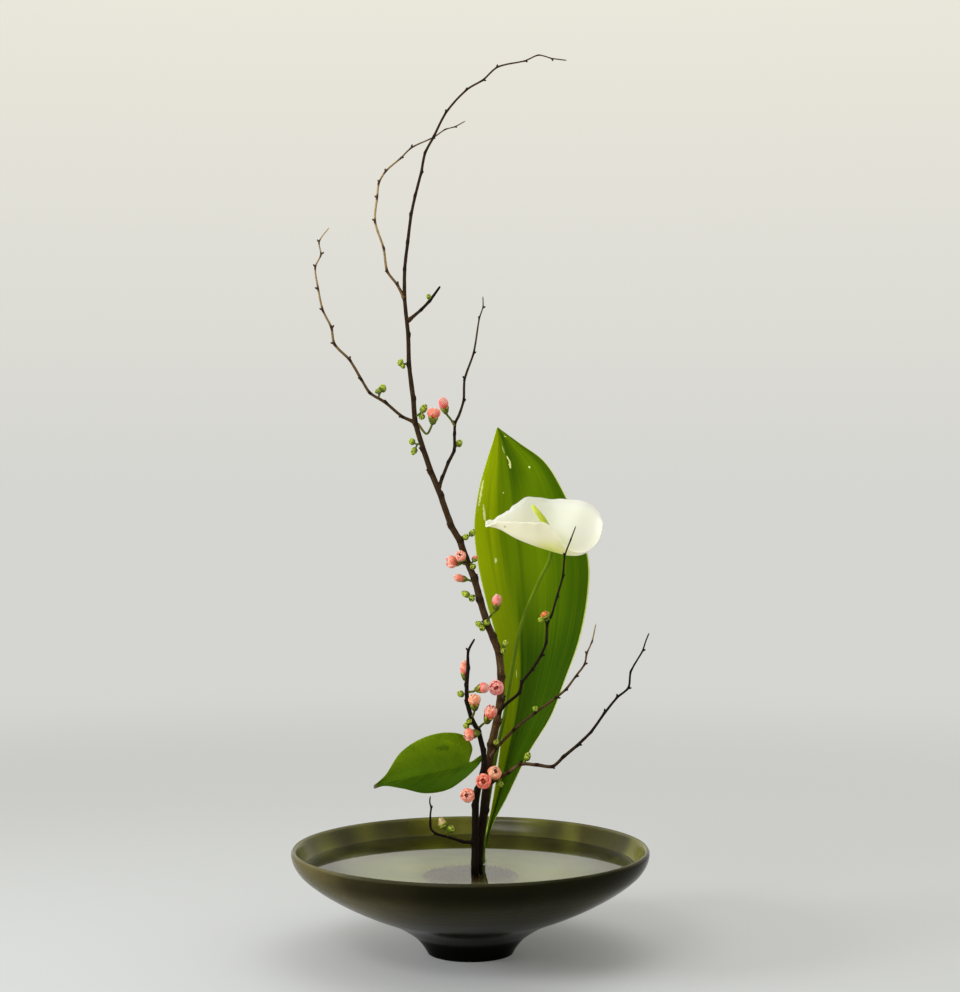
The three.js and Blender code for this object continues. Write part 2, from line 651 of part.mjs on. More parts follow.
const FLOWER_STEM = {
  route: [
    [8.5, 7.5, STEM_FOOT], [9, 7.5, 60], [11.5, 8.5, 100], [16.5, 9.5, 134], [22.5, 9.5, 168],
    [29.5, 9, 202], [33, 8, 224], [36, 6, 241], [39.5, 4, 261], [45, 1, 282], [52, -3, 299],
    [59, -7, 315], [65, -10, 327], [68, -11.5, 338.5],
  ],
  profile: [2, 1.9, 1.7, 1.6, 1.5, 1.5, 1.7],
  sides: 6,
  steps: 24,
};

/** Near rim, keel and far rim of the heart-shaped hood, from its point to its broad lobe. */
const SPATHE = {
  near: [
    [13, -20.6, 357.6], [22, -27, 361.5], [36.5, -36, 361], [50, -42, 360], [62, -44, 358.5],
    [71, -38, 351], [77, -28, 341], [86, -20, 334.5], [97, -15, 334],
  ],
  keel: [
    [13, -20, 358], [24, -18, 355.5], [38, -15, 348], [51, -13, 343], [64, -12, 338.6],
    [74, -11, 336.4], [85, -9, 334.4], [96, -8, 335.5], [104.5, -8, 342],
  ],
  far: [
    [13, -19.2, 358.6], [22.5, -11, 364], [34, -4, 373], [48, 1, 381.5], [65, 5, 380],
    [82, 6, 381.5], [98, 3, 379.5], [109, -2, 370], [113, -6, 354],
  ],
};

const RIM_WAVE = 1.6;
const RIM_WAVES = 2.5;

function spathe(thickness = SPATHE_THICKNESS) {
  const curves = [SPATHE.near, SPATHE.keel, SPATHE.far].map(smoothLine);
  const surface = (across, along) => {
    const [near, keel, far] = curves.map((curve) => curve.getPoint(along));
    const section = new THREE.CatmullRomCurve3([near, keel, far], false, 'catmullrom', 0.6);
    const point = section.getPoint(across);
    point.y += across ** 3 * RIM_WAVE * Math.sin(along * RIM_WAVES * Math.PI * 2);
    return point;
  };
  return blade(surface, 9, 13, thickness);
}

/** The spadix stands on the keel; its surface is raised in rows of small florets. */
const SPADIX = {
  route: [[68, -12, 337.5], [66.5, -14.5, 349], [61.5, -18, 362], [56.5, -20, 369], [51.5, -21, 375]],
  profile: [2.2, 2.9, 3, 2.9, 2.6, 2.2, 1.2],
  sides: 8,
  steps: 14,
  knot: 0.12,
};

// ---------------------------------------------------------------- assembly

const arrangement = new THREE.Group();

function place(name, geometry, material, parent = arrangement) {
  const mesh = new THREE.Mesh(geometry, material);
  mesh.name = name;
  parent.add(mesh);
}

const numbered = (word, index) => `${word}_${String(index + 1).padStart(2, '0')}`;

const vessel = new THREE.Group();
const plants = new THREE.Group();
arrangement.add(vessel, plants);

const grownPins = pins(GAP);
const mainGrown = wood(MAIN_BRANCH, CUT);
const secondGrown = wood(SECOND_STEM, CUT);
const grownSpathe = spathe(SPATHE_THICKNESS + 2 * GAP);
const grownStalks = [STRAP_STALK, ROUND_STALK, FLOWER_STEM].map((spec) => limb({ ...spec, grow: CUT }));

place('bowl', bowl(), MATERIALS.glaze(), vessel);
place('pin_holder', geometryOf(holder()), MATERIALS.brass(), vessel);
place('water', geometryOf(water([mainGrown, secondGrown, ...grownStalks])), MATERIALS.water(), vessel);

const pieces = {
  quince_branch: [carve(wood(MAIN_BRANCH), [grownPins]), MATERIALS.bark],
  quince_second_stem: [carve(wood(SECOND_STEM), [grownPins]), MATERIALS.bark],
  strap_leaf: [carve(strapLeaf(), [grownPins]), MATERIALS.leaf],
  round_leaf: [carve(roundLeaf(), [grownPins]), MATERIALS.roundLeaf],
  anthurium_stem: [carve(limb(FLOWER_STEM), [grownPins, grownSpathe]), MATERIALS.stalk],
  anthurium_spathe: [spathe(), MATERIALS.spathe],
  anthurium_spadix: [carve(limb(SPADIX), [grownSpathe]), MATERIALS.spadix],
};
for (const [name, [solid, material]] of Object.entries(pieces)) {
  place(name, geometryOf(solid), material(), plants);
}

const grown = [mainGrown, secondGrown];
BLOSSOMS.forEach((spec, index) => {
  place(numbered('blossom', index), geometryOf(carve(blossom(spec), grown)), MATERIALS.petal(), plants);
  place(numbered('calyx', index), geometryOf(carve(calyx(spec), grown)), MATERIALS.bud(), plants);
});

BUD_CLUSTERS.forEach((spec, index) => {
  place(numbered('leaf_buds', index), geometryOf(carve(budCluster(spec), grown)), MATERIALS.bud(), plants);
});

export default arrangement;
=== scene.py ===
"""Ikebana arrangement: a footed stoneware bowl of water with a pin holder, in which stand a
flowering quince branch, a second quince stem, a strap leaf, a round leaf and a white anthurium.

Sizes are in millimetres in the part's own frame (+Z up, the front view looks along +Y) and
become metres when a piece is finished.
"""

from __future__ import annotations

import logging
import math
import random
from bisect import bisect_left
from dataclasses import dataclass
from enum import Enum
from functools import lru_cache
from typing import Callable, Sequence

import bmesh
import bpy
from mathutils import Matrix, Vector, noise
from mathutils.kdtree import KDTree


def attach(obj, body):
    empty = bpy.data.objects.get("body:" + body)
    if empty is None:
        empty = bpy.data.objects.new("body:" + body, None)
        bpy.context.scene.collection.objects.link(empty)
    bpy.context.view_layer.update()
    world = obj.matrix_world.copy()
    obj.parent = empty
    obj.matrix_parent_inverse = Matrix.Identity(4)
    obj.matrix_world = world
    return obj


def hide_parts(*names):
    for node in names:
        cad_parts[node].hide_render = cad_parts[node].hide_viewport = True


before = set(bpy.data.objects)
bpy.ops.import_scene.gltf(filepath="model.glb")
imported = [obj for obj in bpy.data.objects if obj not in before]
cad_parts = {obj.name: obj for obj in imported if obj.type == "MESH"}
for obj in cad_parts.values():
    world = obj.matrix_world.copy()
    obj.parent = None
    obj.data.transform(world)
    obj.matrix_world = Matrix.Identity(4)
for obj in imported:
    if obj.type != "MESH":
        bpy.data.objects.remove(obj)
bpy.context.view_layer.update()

LOG = logging.getLogger("ikebana")

MM = 0.001
TURN = 2 * math.pi
GOLDEN_ANGLE = 2.39996
CREASE_ANGLE = math.radians(48)  # faces that meet more sharply than this keep their edge

Point = tuple[float, float, float]
Colour = tuple[float, float, float]
Radius = Callable[[float, float], float]
Surface = Callable[[float, float], Vector]
Profile = Sequence[tuple[float, float]]
Socket = bpy.types.NodeSocket
Value = Socket | float | tuple
Material = bpy.types.Material
Piece = bpy.types.Object
BMesh = bmesh.types.BMesh
BMFace = bmesh.types.BMFace
BMVert = bmesh.types.BMVert


def linear(red: int, green: int, blue: int) -> Colour:
    """A display colour of 0..255 as a linear one of 0..1."""
    def one(value: int) -> float:
        """One channel."""
        share = value / 255
        return share / 12.92 if share <= 0.04045 else ((share + 0.055) / 1.055) ** 2.4
    return one(red), one(green), one(blue)


def blend(low: float, high: float, share: float) -> float:
    """The value between low and high at a share 0..1."""
    return low + (high - low) * share


def ease(low: float, high: float, value: float) -> float:
    """0 below low, 1 above high, and smooth between them."""
    share = min(max((value - low) / (high - low), 0.0), 1.0)
    return share * share * (3 - 2 * share)


def hump(value: float, middle: float, width: float) -> float:
    """A soft hump of height 1 about the middle."""
    return math.exp(-(((value - middle) / width) ** 2))


def read_profile(profile: Sequence[float], share: float) -> float:
    """Linear reading of an evenly spaced profile at a share 0..1 of its length."""
    place = min(max(share, 0.0), 1.0) * (len(profile) - 1)
    index = min(int(place), len(profile) - 2)
    return blend(profile[index], profile[index + 1], place - index)


def tapering(profile: Sequence[float]) -> Radius:
    """A radius that follows an evenly spaced profile and is the same all around."""
    return lambda share, _: read_profile(profile, share)


# ---------------------------------------------------------------- smooth lines


@dataclass(frozen=True)
class Ring:
    """A cross section's place on a line: its point and its three directions."""

    point: Vector
    normal: Vector
    binormal: Vector
    tangent: Vector

    def out(self, turn: float) -> Vector:
        """The direction away from the line at a turn in radians."""
        return self.normal * math.cos(turn) + self.binormal * math.sin(turn)


class Route:
    """A smooth line through points. Without a tension it is centripetal."""

    SAMPLES = 20  # readings per stretch for the length table

    def __init__(self, points: Sequence[Point], tension: float | None = None) -> None:
        """Keeps the points and measures the line."""
        self.points = [Vector(p) for p in points]
        self.tension = tension
        self.at = lru_cache(maxsize=None)(self._at)
        count = self.SAMPLES * (len(self.points) - 1)
        places = [self._at(i / count) for i in range(count + 1)]
        self.lengths = [0.0]
        for before, after in zip(places, places[1:]):
            self.lengths.append(self.lengths[-1] + (after - before).length)
        self.length = self.lengths[-1]

    def _slopes(self, index: int) -> tuple[Vector, Vector]:
        """The slopes at both ends of one stretch."""
        p1, p2 = self.points[index], self.points[index + 1]
        p0 = self.points[index - 1] if index > 0 else p1 * 2 - p2
        last = index + 2 >= len(self.points)
        p3 = p2 * 2 - p1 if last else self.points[index + 2]
        if self.tension is not None:
            return (p2 - p0) * self.tension, (p3 - p1) * self.tension
        d0, d1, d2 = ((b - a).length ** 0.5 for a, b in ((p0, p1), (p1, p2), (p2, p3)))
        start = (p1 - p0) / d0 - (p2 - p0) / (d0 + d1) + (p2 - p1) / d1
        end = (p2 - p1) / d1 - (p3 - p1) / (d1 + d2) + (p3 - p2) / d2
        return start * d1, end * d1

    def _at(self, share: float) -> Vector:
        """The point at a share of the line's stretches."""
        place = min(max(share, 0.0), 1.0) * (len(self.points) - 1)
        index = min(int(place), len(self.points) - 2)
        t = place - index
        p1, p2 = self.points[index], self.points[index + 1]
        start, end = self._slopes(index)
        return (p1 * (2 * t**3 - 3 * t**2 + 1) + start * (t**3 - 2 * t**2 + t)
                + p2 * (3 * t**2 - 2 * t**3) + end * (t**3 - t**2))

    def along(self, share: float) -> Vector:
        """The point at a share of the line's length."""
        wanted = min(max(share, 0.0), 1.0) * self.length
        index = min(max(bisect_left(self.lengths, wanted), 1), len(self.lengths) - 1)
        low, high = self.lengths[index - 1], self.lengths[index]
        part = (wanted - low) / (high - low) if high > low else 0.0
        return self._at((index - 1 + part) / (len(self.lengths) - 1))

    def rings(self, steps: int) -> list[Ring]:
        """Evenly spaced rings that don't twist about the line."""
        points = [self.along(i / steps) for i in range(steps + 1)]
        found: list[Ring] = []
        normal = Vector()
        for i, point in enumerate(points):
            tangent = (points[min(i + 1, steps)] - points[max(i - 1, 0)]).normalized()
            if i == 0:
                axis = Vector((0, -1, 0)) if abs(tangent.y) < 0.8 else Vector((1, 0, 0))
                normal = axis
            normal = (normal - tangent * normal.dot(tangent)).normalized()
            found.append(Ring(point, normal, tangent.cross(normal), tangent))
        return found


def section(profile: Profile) -> Route:
    """A smooth line through radii and heights."""
    return Route([(r, 0, z) for r, z in profile])


# ---------------------------------------------------------------- shapes


def fresh_since(bm: BMesh, verts: int, faces: int) -> tuple[list, list]:
    """The vertices and faces that were added after those counts."""
    bm.verts.ensure_lookup_table()
    bm.faces.ensure_lookup_table()
    return bm.verts[verts:], bm.faces[faces:]


def rod(bm: BMesh, route: Route, radius: Radius, sides: int, steps: int,
        skin: str = "") -> list[BMFace]:
    """Bends a capped round bar along a route.

    Args:
        bm: The mesh that the bar is added to.
        route: The bar's centre line.
        radius: Reads the radius from the share of the length and the turn in radians.
        sides: Faces around.
        steps: Rings along.
        skin: A face corner layer that gets the place on the unrolled bar, where wanted.

    Returns:
        The bar's faces.
    """
    verts, faces, edges = len(bm.verts), len(bm.faces), len(bm.edges)
    bmesh.ops.create_cone(bm, cap_ends=True, segments=sides, radius1=1, radius2=1, depth=1)
    bm.edges.ensure_lookup_table()
    lengthwise = [e for e in bm.edges[edges:]
                  if abs(e.verts[0].co.z - e.verts[1].co.z) > 0.5]
    bmesh.ops.subdivide_edges(bm, edges=lengthwise, cuts=steps - 1)
    made, walls = fresh_since(bm, verts, faces)
    rings = route.rings(steps)
    places: dict[BMVert, Vector] = {}
    for vert in made:
        index = round((vert.co.z + 0.5) * steps)
        turn = math.atan2(vert.co.y, vert.co.x)
        reach = radius(index / steps, turn)
        places[vert] = Vector((math.cos(turn) * reach, math.sin(turn) * reach,
                               index / steps * route.length))
        vert.co = rings[index].point + rings[index].out(turn) * reach
    if skin:
        layer = bm.loops.layers.float_vector.get(skin) \
            or bm.loops.layers.float_vector.new(skin)
        for face in walls:
            for corner in face.loops:
                corner[layer] = places[corner.vert]
    return walls


def blade(bm: BMesh, surface: Surface, columns: int, rows: int,
          thickness: Callable[[float, float], float]) -> list[BMFace]:
    """Lays a thin plate on a surface, with its place on the plate as its UV map.

    Args:
        bm: The mesh that the plate is added to.
        surface: Reads a point from the shares across and along.
        columns: Faces across.
        rows: Faces along.
        thickness: Reads the thickness from the shares across and along.

    Returns:
        The plate's faces.
    """
    lattice = [[surface(i / columns, j / rows) for i in range(columns + 1)]
               for j in range(rows + 1)]

    def normal(i: int, j: int) -> Vector:
        """The surface's direction at a point of the lattice."""
        sideways = lattice[j][min(i + 1, columns)] - lattice[j][max(i - 1, 0)]
        forward = lattice[min(j + 1, rows)][i] - lattice[max(j - 1, 0)][i]
        return sideways.cross(forward).normalized()

    uv = bm.loops.layers.uv.get("UVMap") or bm.loops.layers.uv.new("UVMap")
    outer = bm.verts.layers.float.get("outer") or bm.verts.layers.float.new("outer")
    verts, faces = len(bm.verts), len(bm.faces)
    bmesh.ops.create_grid(bm, x_segments=columns, y_segments=rows, size=0.5)
    bm.faces.ensure_lookup_table()
    raised = bmesh.ops.extrude_face_region(bm, geom=bm.faces[faces:], use_keep_orig=True)
    top = [item for item in raised["geom"] if isinstance(item, BMVert)]
    bmesh.ops.translate(bm, verts=top, vec=(0, 0, 1))
    made, plates = fresh_since(bm, verts, faces)
    for face in plates:
        for corner in face.loops:
            corner[uv].uv = (corner.vert.co.x + 0.5, corner.vert.co.y + 0.5)
    for vert in made:
        i, j = round((vert.co.x + 0.5) * columns), round((vert.co.y + 0.5) * rows)
        vert[outer] = vert.co.z
        half = (0.5 - vert.co.z) * thickness(i / columns, j / rows)
        vert.co = lattice[j][i] + normal(i, j) * half
    return plates


def turned(bm: BMesh, profile: Profile, steps: int) -> None:
    """Turns an open profile of radii and heights, from axis to axis, about the Z axis."""
    line = [bm.verts.new((r, 0, z)) for r, z in profile]
    edges = [bm.edges.new(pair) for pair in zip(line, line[1:])]
    bmesh.ops.spin(bm, geom=line + edges, cent=(0, 0, 0), axis=(0, 0, 1), angle=TURN,
                   steps=steps, use_merge=True)
    bmesh.ops.remove_doubles(bm, verts=bm.verts, dist=1e-4)


def paint(faces: Sequence[BMFace], index: int) -> None:
    """Gives faces one of the piece's materials."""
    for face in faces:
        face.material_index = index


def to_mesh(bm: BMesh, name: str) -> bpy.types.Mesh:
    """Turns a mesh in millimetres, which is freed, into one in metres."""
    bmesh.ops.scale(bm, vec=(MM, MM, MM), verts=bm.verts)
    bmesh.ops.recalc_face_normals(bm, faces=bm.faces)
    mesh = bpy.data.meshes.new(name)
    bm.to_mesh(mesh)
    bm.free()
    return mesh


def put(name: str, data: bpy.types.ID) -> Piece:
    """Puts an object of a mesh, a lamp or a camera in the scene."""
    thing = bpy.data.objects.new(name, data)
    bpy.context.scene.collection.objects.link(thing)
    return thing


def finish_piece(bm: BMesh, name: str, finishes: Sequence[Material],
                 node: str) -> Piece:
    """Args:
        bm: The mesh, which is freed.
        name: The piece's name.
        finishes: Its materials, in the order of the faces' numbers.
        node: The CAD node that it stands for.

    Returns:
        The object.
    """
    return declare(to_mesh(bm, name), finishes, node)


def declare(mesh: bpy.types.Mesh, finishes: Sequence[Material], node: str) -> Piece:
    """Args:
        mesh: The mesh, whose name the piece takes.
        finishes: Its materials, in the order of the faces' numbers.
        node: The CAD node that it stands for.

    Returns:
        The object.
    """
    mesh.shade_smooth()
    mesh.set_sharp_from_angle(angle=CREASE_ANGLE)
    for material in finishes:
        mesh.materials.append(material)
    piece = put(mesh.name, mesh)
    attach(piece, "root")
    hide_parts(node)
    LOG.info("%s: %d faces for %s", piece.name, len(mesh.polygons), node)
    return piece


# ---------------------------------------------------------------- finishes


class Shader:
    """Writes one material's nodes round a Principled surface."""

    def __init__(self, name: str, **surface: Value) -> None:
        """Makes the material and sets the surface's constant inputs."""
        self.material = bpy.data.materials.new(name)
        self.material.use_nodes = True
        self.tree = self.material.node_tree
        self.tree.nodes.clear()
        self.surface = self.add("ShaderNodeBsdfPrincipled")
        self.output = self.add("ShaderNodeOutputMaterial",
                               {"Surface": self.surface.outputs["BSDF"]})
        self.dress(**surface)

    def add(self, kind: str, inputs: dict[str | int, Value] | None = None,
            **settings: object) -> bpy.types.Node:
        """Adds a node, sets its properties and feeds its inputs."""
        node = self.tree.nodes.new(kind)
        for key, value in settings.items():
            setattr(node, key, value)
        for key, value in (inputs or {}).items():
            self.feed(node, key, value)
        return node

    def feed(self, node: bpy.types.Node, key: str | int, value: Value) -> None:
        """Links a socket to an input, or sets the input's value."""
        socket = node.inputs[key]
        if isinstance(value, Socket):
            self.tree.links.new(value, socket)
        elif isinstance(value, tuple) and socket.type == "RGBA":
            socket.default_value = (*value, 1.0)
        else:
            socket.default_value = value

    def dress(self, **inputs: Value) -> Material:
        """Feeds the surface's inputs, named with _ for a space, and gives the material."""
        for key, value in inputs.items():
            self.feed(self.surface, key.replace("_", " "), value)
        return self.material

    def place(self, scale: Point = (1, 1, 1)) -> Socket:
        """The place on the object in metres, scaled."""
        return self.mapped(self.add("ShaderNodeTexCoord").outputs["Object"], scale)

    def mapped(self, vector: Socket, scale: Point) -> Socket:
        """A vector times a scale."""
        return self.add("ShaderNodeMapping", {"Vector": vector, "Scale": scale}).outputs[0]

    def layer(self, name: str, output: str = "Vector") -> Socket:
        """A layer of the mesh."""
        return self.add("ShaderNodeAttribute", attribute_name=name).outputs[output]

    def split(self, vector: Socket) -> Sequence[Socket]:
        """The three parts of a vector."""
        return tuple(self.add("ShaderNodeSeparateXYZ", {0: vector}).outputs)

    def noise(self, vector: Socket, scale: float, detail: float = 3.0,
              roughness: float = 0.55, warp: float = 0.0) -> Socket:
        """Cloudy values about 0.5."""
        return self.add("ShaderNodeTexNoise", {
            "Vector": vector, "Scale": scale, "Detail": detail, "Roughness": roughness,
            "Distortion": warp}).outputs[0]

    def streaks(self, across: Socket, along: Socket, narrow: float, short: float,
                detail: float = 2.0) -> Socket:
        """Cloudy values drawn out along a blade.

        Args:
            across: The place across the blade.
            along: The place along the blade.
            narrow: How many streaks lie side by side.
            short: How many follow one another.
            detail: How finely they break up.

        Returns:
            The values.
        """
        spread = self.add("ShaderNodeCombineXYZ",
                          {0: self.times(across, narrow), 1: self.times(along, short)})
        return self.noise(spread.outputs[0], 1.0, detail)

    def cells(self, vector: Socket, scale: float) -> Socket:
        """The distance to the nearest of many scattered points."""
        return self.add("ShaderNodeTexVoronoi",
                        {"Vector": vector, "Scale": scale}).outputs["Distance"]

    def math(self, operation: str, a: Value, b: Value = 0.0) -> Socket:
        """One sum on two values."""
        return self.add("ShaderNodeMath", {0: a, 1: b}, operation=operation).outputs[0]

    def times(self, a: Value, b: Value) -> Socket:
        """The product of two values."""
        return self.math("MULTIPLY", a, b)

    def off_middle(self, across: Socket) -> Socket:
        """How far a place across a blade, 0 to 1, lies from its midrib."""
        return self.math("ABSOLUTE", self.math("SUBTRACT", across, 0.5))

    def reach(self, x: Socket, y: Socket) -> Socket:
        """How far from 0 a place on two axes lies."""
        return self.math("SQRT", self.math("ADD", self.times(x, x), self.times(y, y)))

    def fade(self, value: Value, low: float, high: float, first: float = 0.0,
             last: float = 1.0) -> Socket:
        """Changes smoothly from one value to another.

        Args:
            value: What is read.
            low: The reading up to which the first value holds.
            high: The reading from which the last value holds.
            first: The first value.
            last: The last value.

        Returns:
            The value.
        """
        inputs = dict(enumerate((value, low, high, first, last)))
        return self.add("ShaderNodeMapRange", inputs,
                        interpolation_type="SMOOTHSTEP").outputs[0]

    def mix(self, share: Value, a: Value, b: Value) -> Socket:
        """Two colours mixed by a share."""
        return self.add("ShaderNodeMix", {0: share, 6: a, 7: b}, data_type="RGBA").outputs[2]

    def coats(self, colour: Value, *coats: tuple[Value, Value]) -> Value:
        """Lays colours over the first one in turn, each by its share."""
        for share, tone in coats:
            colour = self.mix(share, colour, tone)
        return colour

    def tones(self, value: Socket, stops: Sequence[tuple[float, Colour]]) -> Socket:
        """A colour read from stops by a value."""
        node = self.add("ShaderNodeValToRGB", {0: value})
        ramp = node.color_ramp
        while len(ramp.elements) < len(stops):
            ramp.elements.new(0.5)
        for element, (at, colour) in zip(ramp.elements, stops):
            element.position = at
            element.color = (*colour, 1.0)
        return node.outputs[0]

    def relief(self, height: Socket, strength: float, depth: float,
               under: Socket | None = None) -> Socket:
        """Raises the surface in small relief.

        Args:
            height: The height, 0 to 1.
            strength: How strongly it shows.
            depth: Its depth in millimetres.
            under: The normal of a relief that lies under this one.

        Returns:
            The relief's normal.
        """
        node = self.add("ShaderNodeBump", {"Strength": strength, "Distance": depth * MM,
                                           "Height": height})
        if under is not None:
            self.feed(node, "Normal", under)
        self.dress(Normal=node.outputs[0])
        return node.outputs[0]


@dataclass(frozen=True)
class GlazeFinish:
    """Dark olive glaze that breaks to grey-green where it runs thin over the lip, with painted
    shade at the foot and under the lip, brown painted light on the left side, painted light on
    the inside floor and a painted reflection at the lip's left and right ends.
    """

    outside: Colour = linear(42, 39, 16)
    # near-black glaze for random dark patches, also laid on as painted shade at the foot and
    # under the lip
    low: Colour = linear(8, 8, 3)
    # brown painted light on the outside's left side, where the light falls from the left
    brown: Colour = linear(98, 90, 56)
    inside: Colour = linear(62, 60, 18)
    cloud: Colour = linear(106, 106, 34)
    # pale green painted light on the inside floor, which faces the light from above
    painted_floor_light: Colour = linear(178, 184, 100)
    # grey-green of the thin glaze over the lip, also laid on towards the left and right ends as
    # a painted reflection
    thin: Colour = linear(128, 126, 96)
    speck: Colour = linear(22, 17, 8)
    rim: float = 0.088  # the lip's height in metres
    foot: float = 0.012  # the height in metres under which the outside is painted near black as painted shade under the bowl; the shade fades out above it, up the wall

    def make(self, name: str, gloss: float) -> Material:
        """Builds the material.

        Args:
            name: The material's name.
            gloss: How strongly the glaze mirrors, 0 to 1.

        Returns:
            The material.
        """
        shader = Shader(name, Specular_IOR_Level=gloss)
        place = shader.place()
        sideways, _, height = shader.split(place)
        drift = shader.noise(shader.place((1, 1, 2.4)), 9, 4, 0.6, 0.4)
        edge = shader.math("ADD", shader.layer("lip", "Fac"),
                           shader.fade(drift, 0.35, 0.7, -0.3, 0.1))
        # painted reflection: the lip's pale thin-glaze colour grows towards the left and right
        # ends
        ends = shader.fade(shader.math("ABSOLUTE", sideways), 0.07, 0.145, 0.12, 0.52)
        colour = shader.coats(
            self.outer(shader, sideways, height),
            (shader.layer("inner", "Fac"), self.inner(shader, height)),
            (shader.fade(drift, 0.35, 0.75, 0.0, 0.45), self.low),
            (shader.times(shader.fade(edge, 0.4, 0.95), ends), self.thin),
            (shader.fade(shader.cells(place, 260), 0.1, 0.17, 0.5, 0.0), self.speck))
        shader.relief(shader.noise(shader.place((0.25, 0.25, 9)), 34, 2), 0.1, 0.5)
        return shader.dress(Base_Color=colour,
                            Roughness=shader.fade(drift, 0.25, 0.75, 0.13, 0.24))

    def outer(self, shader: Shader, sideways: Socket, height: Socket) -> Value:
        """The outside's colour: near black at its foot and under its lip as painted shade, and
        brown on its left side as painted light.
        """
        # painted shade: near black at the foot, fading to the outside colour up the lower wall
        wall = shader.fade(height, self.foot, self.rim)
        # painted light: brown on the left side, above about a third of the height
        warm = shader.times(shader.fade(sideways, -0.02, -0.1, 0.0, 0.75),
                            shader.fade(height, 0.028, 0.046))
        # painted shade in a band under the lip, except at the far left
        shade_under_lip = shader.times(shader.fade(height, 0.062, 0.078, 0.0, 0.7),
                                 shader.fade(sideways, -0.13, -0.085))
        return shader.coats(self.low, (shader.fade(wall, 0.0, 0.7), self.outside),
                            (warm, self.brown), (shade_under_lip, self.low))

    def inner(self, shader: Shader, height: Socket) -> Value:
        """The inside's colour: clouded, and paler on the floor as painted light from above."""
        clouds = shader.fade(shader.noise(shader.place((1, 1, 0.5)), 13, 2), 0.46, 0.66)
        # painted light: the floor, lit from above, is painted paler than the wall
        floor_lit_share = shader.fade(height, self.rim - 0.036, self.rim - 0.06)
        return shader.coats(self.inside, (clouds, self.cloud), (floor_lit_share, self.painted_floor_light))


@dataclass(frozen=True)
class WaterFinish:
    """Still water, faintly cloudy, that bends light at its surface but not at the wall; in a
    ring about the pin holder it lets less light through, so that its pale colour shows as a
    painted reflection of the pale room.
    """

    body: Colour = linear(236, 240, 206)
    haze: Colour = linear(226, 230, 166)
    clearness: float = 0.9  # the transmission in the ring about the pin holder, which is painted pale as a reflection of the room
    reflection_ring_radii: tuple[float, ...] = (0.028, 0.062, 0.085, 0.125)  # radii of the painted reflection ring from its start to its end
    squash: float = 0.55  # how a distance from front to back counts for the ring

    def make(self) -> list[Material]:
        """Builds the surface's material and that of the side which wets the bowl."""
        return [self.clear("still_water", 1.333), self.clear("water_against_wall", 1.0)]

    def clear(self, name: str, bend: float) -> Material:
        """Builds a clear material with a refractive index."""
        shader = Shader(name, IOR=bend, Roughness=0.0)
        place = shader.place()
        cloud = shader.noise(place, 11, 3, 0.6, 0.3)
        sideways, back, _ = shader.split(place)
        away = shader.math("ADD", shader.reach(sideways, shader.times(back, self.squash)),
                           shader.fade(cloud, 0.3, 0.7, -0.008, 0.008))
        # painted reflection: a pale ring about the pin holder, kept off the middle and fading
        # out towards the back
        start, full, thinning, end = self.reflection_ring_radii
        drift = shader.times(shader.fade(away, start, full), shader.fade(away, end, thinning))
        drift = shader.times(drift, shader.fade(back, 0.07, 0.02))
        shader.relief(shader.noise(place, 22, 2), 0.05, 0.5)
        return shader.dress(
            Transmission_Weight=shader.fade(drift, 0, 1, 1.0, self.clearness),
            Base_Color=shader.mix(shader.fade(cloud, 0.35, 0.7), self.body, self.haze))


@dataclass(frozen=True)
class HolderFinish:
    """Brass pins on a dull, browned lead base."""

    pins: Colour = linear(150, 124, 66)
    base: Colour = linear(116, 94, 60)
    stain: Colour = linear(66, 58, 42)

    def make(self, top: float) -> Material:
        """Builds the material; top is the base's top in metres."""
        shader = Shader("pin_holder_metal")
        place = shader.place()
        _, _, height = shader.split(place)
        pin = shader.fade(height, top + 0.0002, top + 0.0012)
        patches = shader.noise(place, 90, 4, 0.65)
        base = shader.mix(shader.fade(patches, 0.4, 0.65), self.base, self.stain)
        brass = shader.mix(shader.fade(patches, 0.45, 0.75), self.pins, self.stain)
        shader.relief(shader.noise(place, 1200, 3), 0.3, 0.08)
        return shader.dress(Base_Color=shader.mix(pin, base, brass),
                            Metallic=shader.fade(pin, 0, 1, 0.2, 0.5),
                            Roughness=shader.fade(patches, 0.3, 0.7, 0.32, 0.6))


@dataclass(frozen=True)
class BarkFinish:
    """Quince bark: lengthwise cracks, pale pores and a tan skin on the young wood."""

    dark: Colour = linear(20, 11, 6)
    warm: Colour = linear(86, 62, 34)
    young: Colour = linear(186, 158, 110)
    bloom: Colour = linear(150, 138, 106)

    def make(self) -> Material:
        """Builds the material; the layer bark is the place on the unrolled limb."""
        shader = Shader("quince_bark", Specular_IOR_Level=0.12)
        bark, tone = shader.layer("bark"), shader.layer("tone", "Fac")
        grain = shader.noise(shader.mapped(bark, (1.5, 1.5, 0.16)), 1.0, 4, 0.65)
        patches = shader.noise(shader.mapped(bark, (0.35, 0.35, 0.06)), 1.0, 3)
        pores = shader.cells(shader.mapped(bark, (0.8, 0.8, 0.5)), 1.0)
        pale = shader.times(shader.fade(tone, 0.1, 0.6, 0.0, 0.45),
                            shader.fade(patches, 0.5, 0.7))
        spots = shader.times(shader.fade(pores, 0.1, 0.2, 0.7, 0.0),
                             shader.fade(tone, 0.05, 0.5, 0.1, 1.0))
        skin = shader.coats(self.dark, (shader.fade(tone, 0.0, 0.5), self.warm),
                            (shader.fade(tone, 0.5, 1.0), self.young))
        crack = shader.mix(0.55, skin, self.dark)
        colour = shader.coats(crack, (shader.fade(grain, 0.34, 0.6), skin),
                              (pale, self.bloom), (spots, self.bloom))
        normal = shader.relief(grain, 0.7, 0.25)
        shader.relief(spots, 0.4, 0.12, normal)
        return shader.dress(Base_Color=colour,
                            Roughness=shader.fade(grain, 0.3, 0.7, 0.9, 0.7))


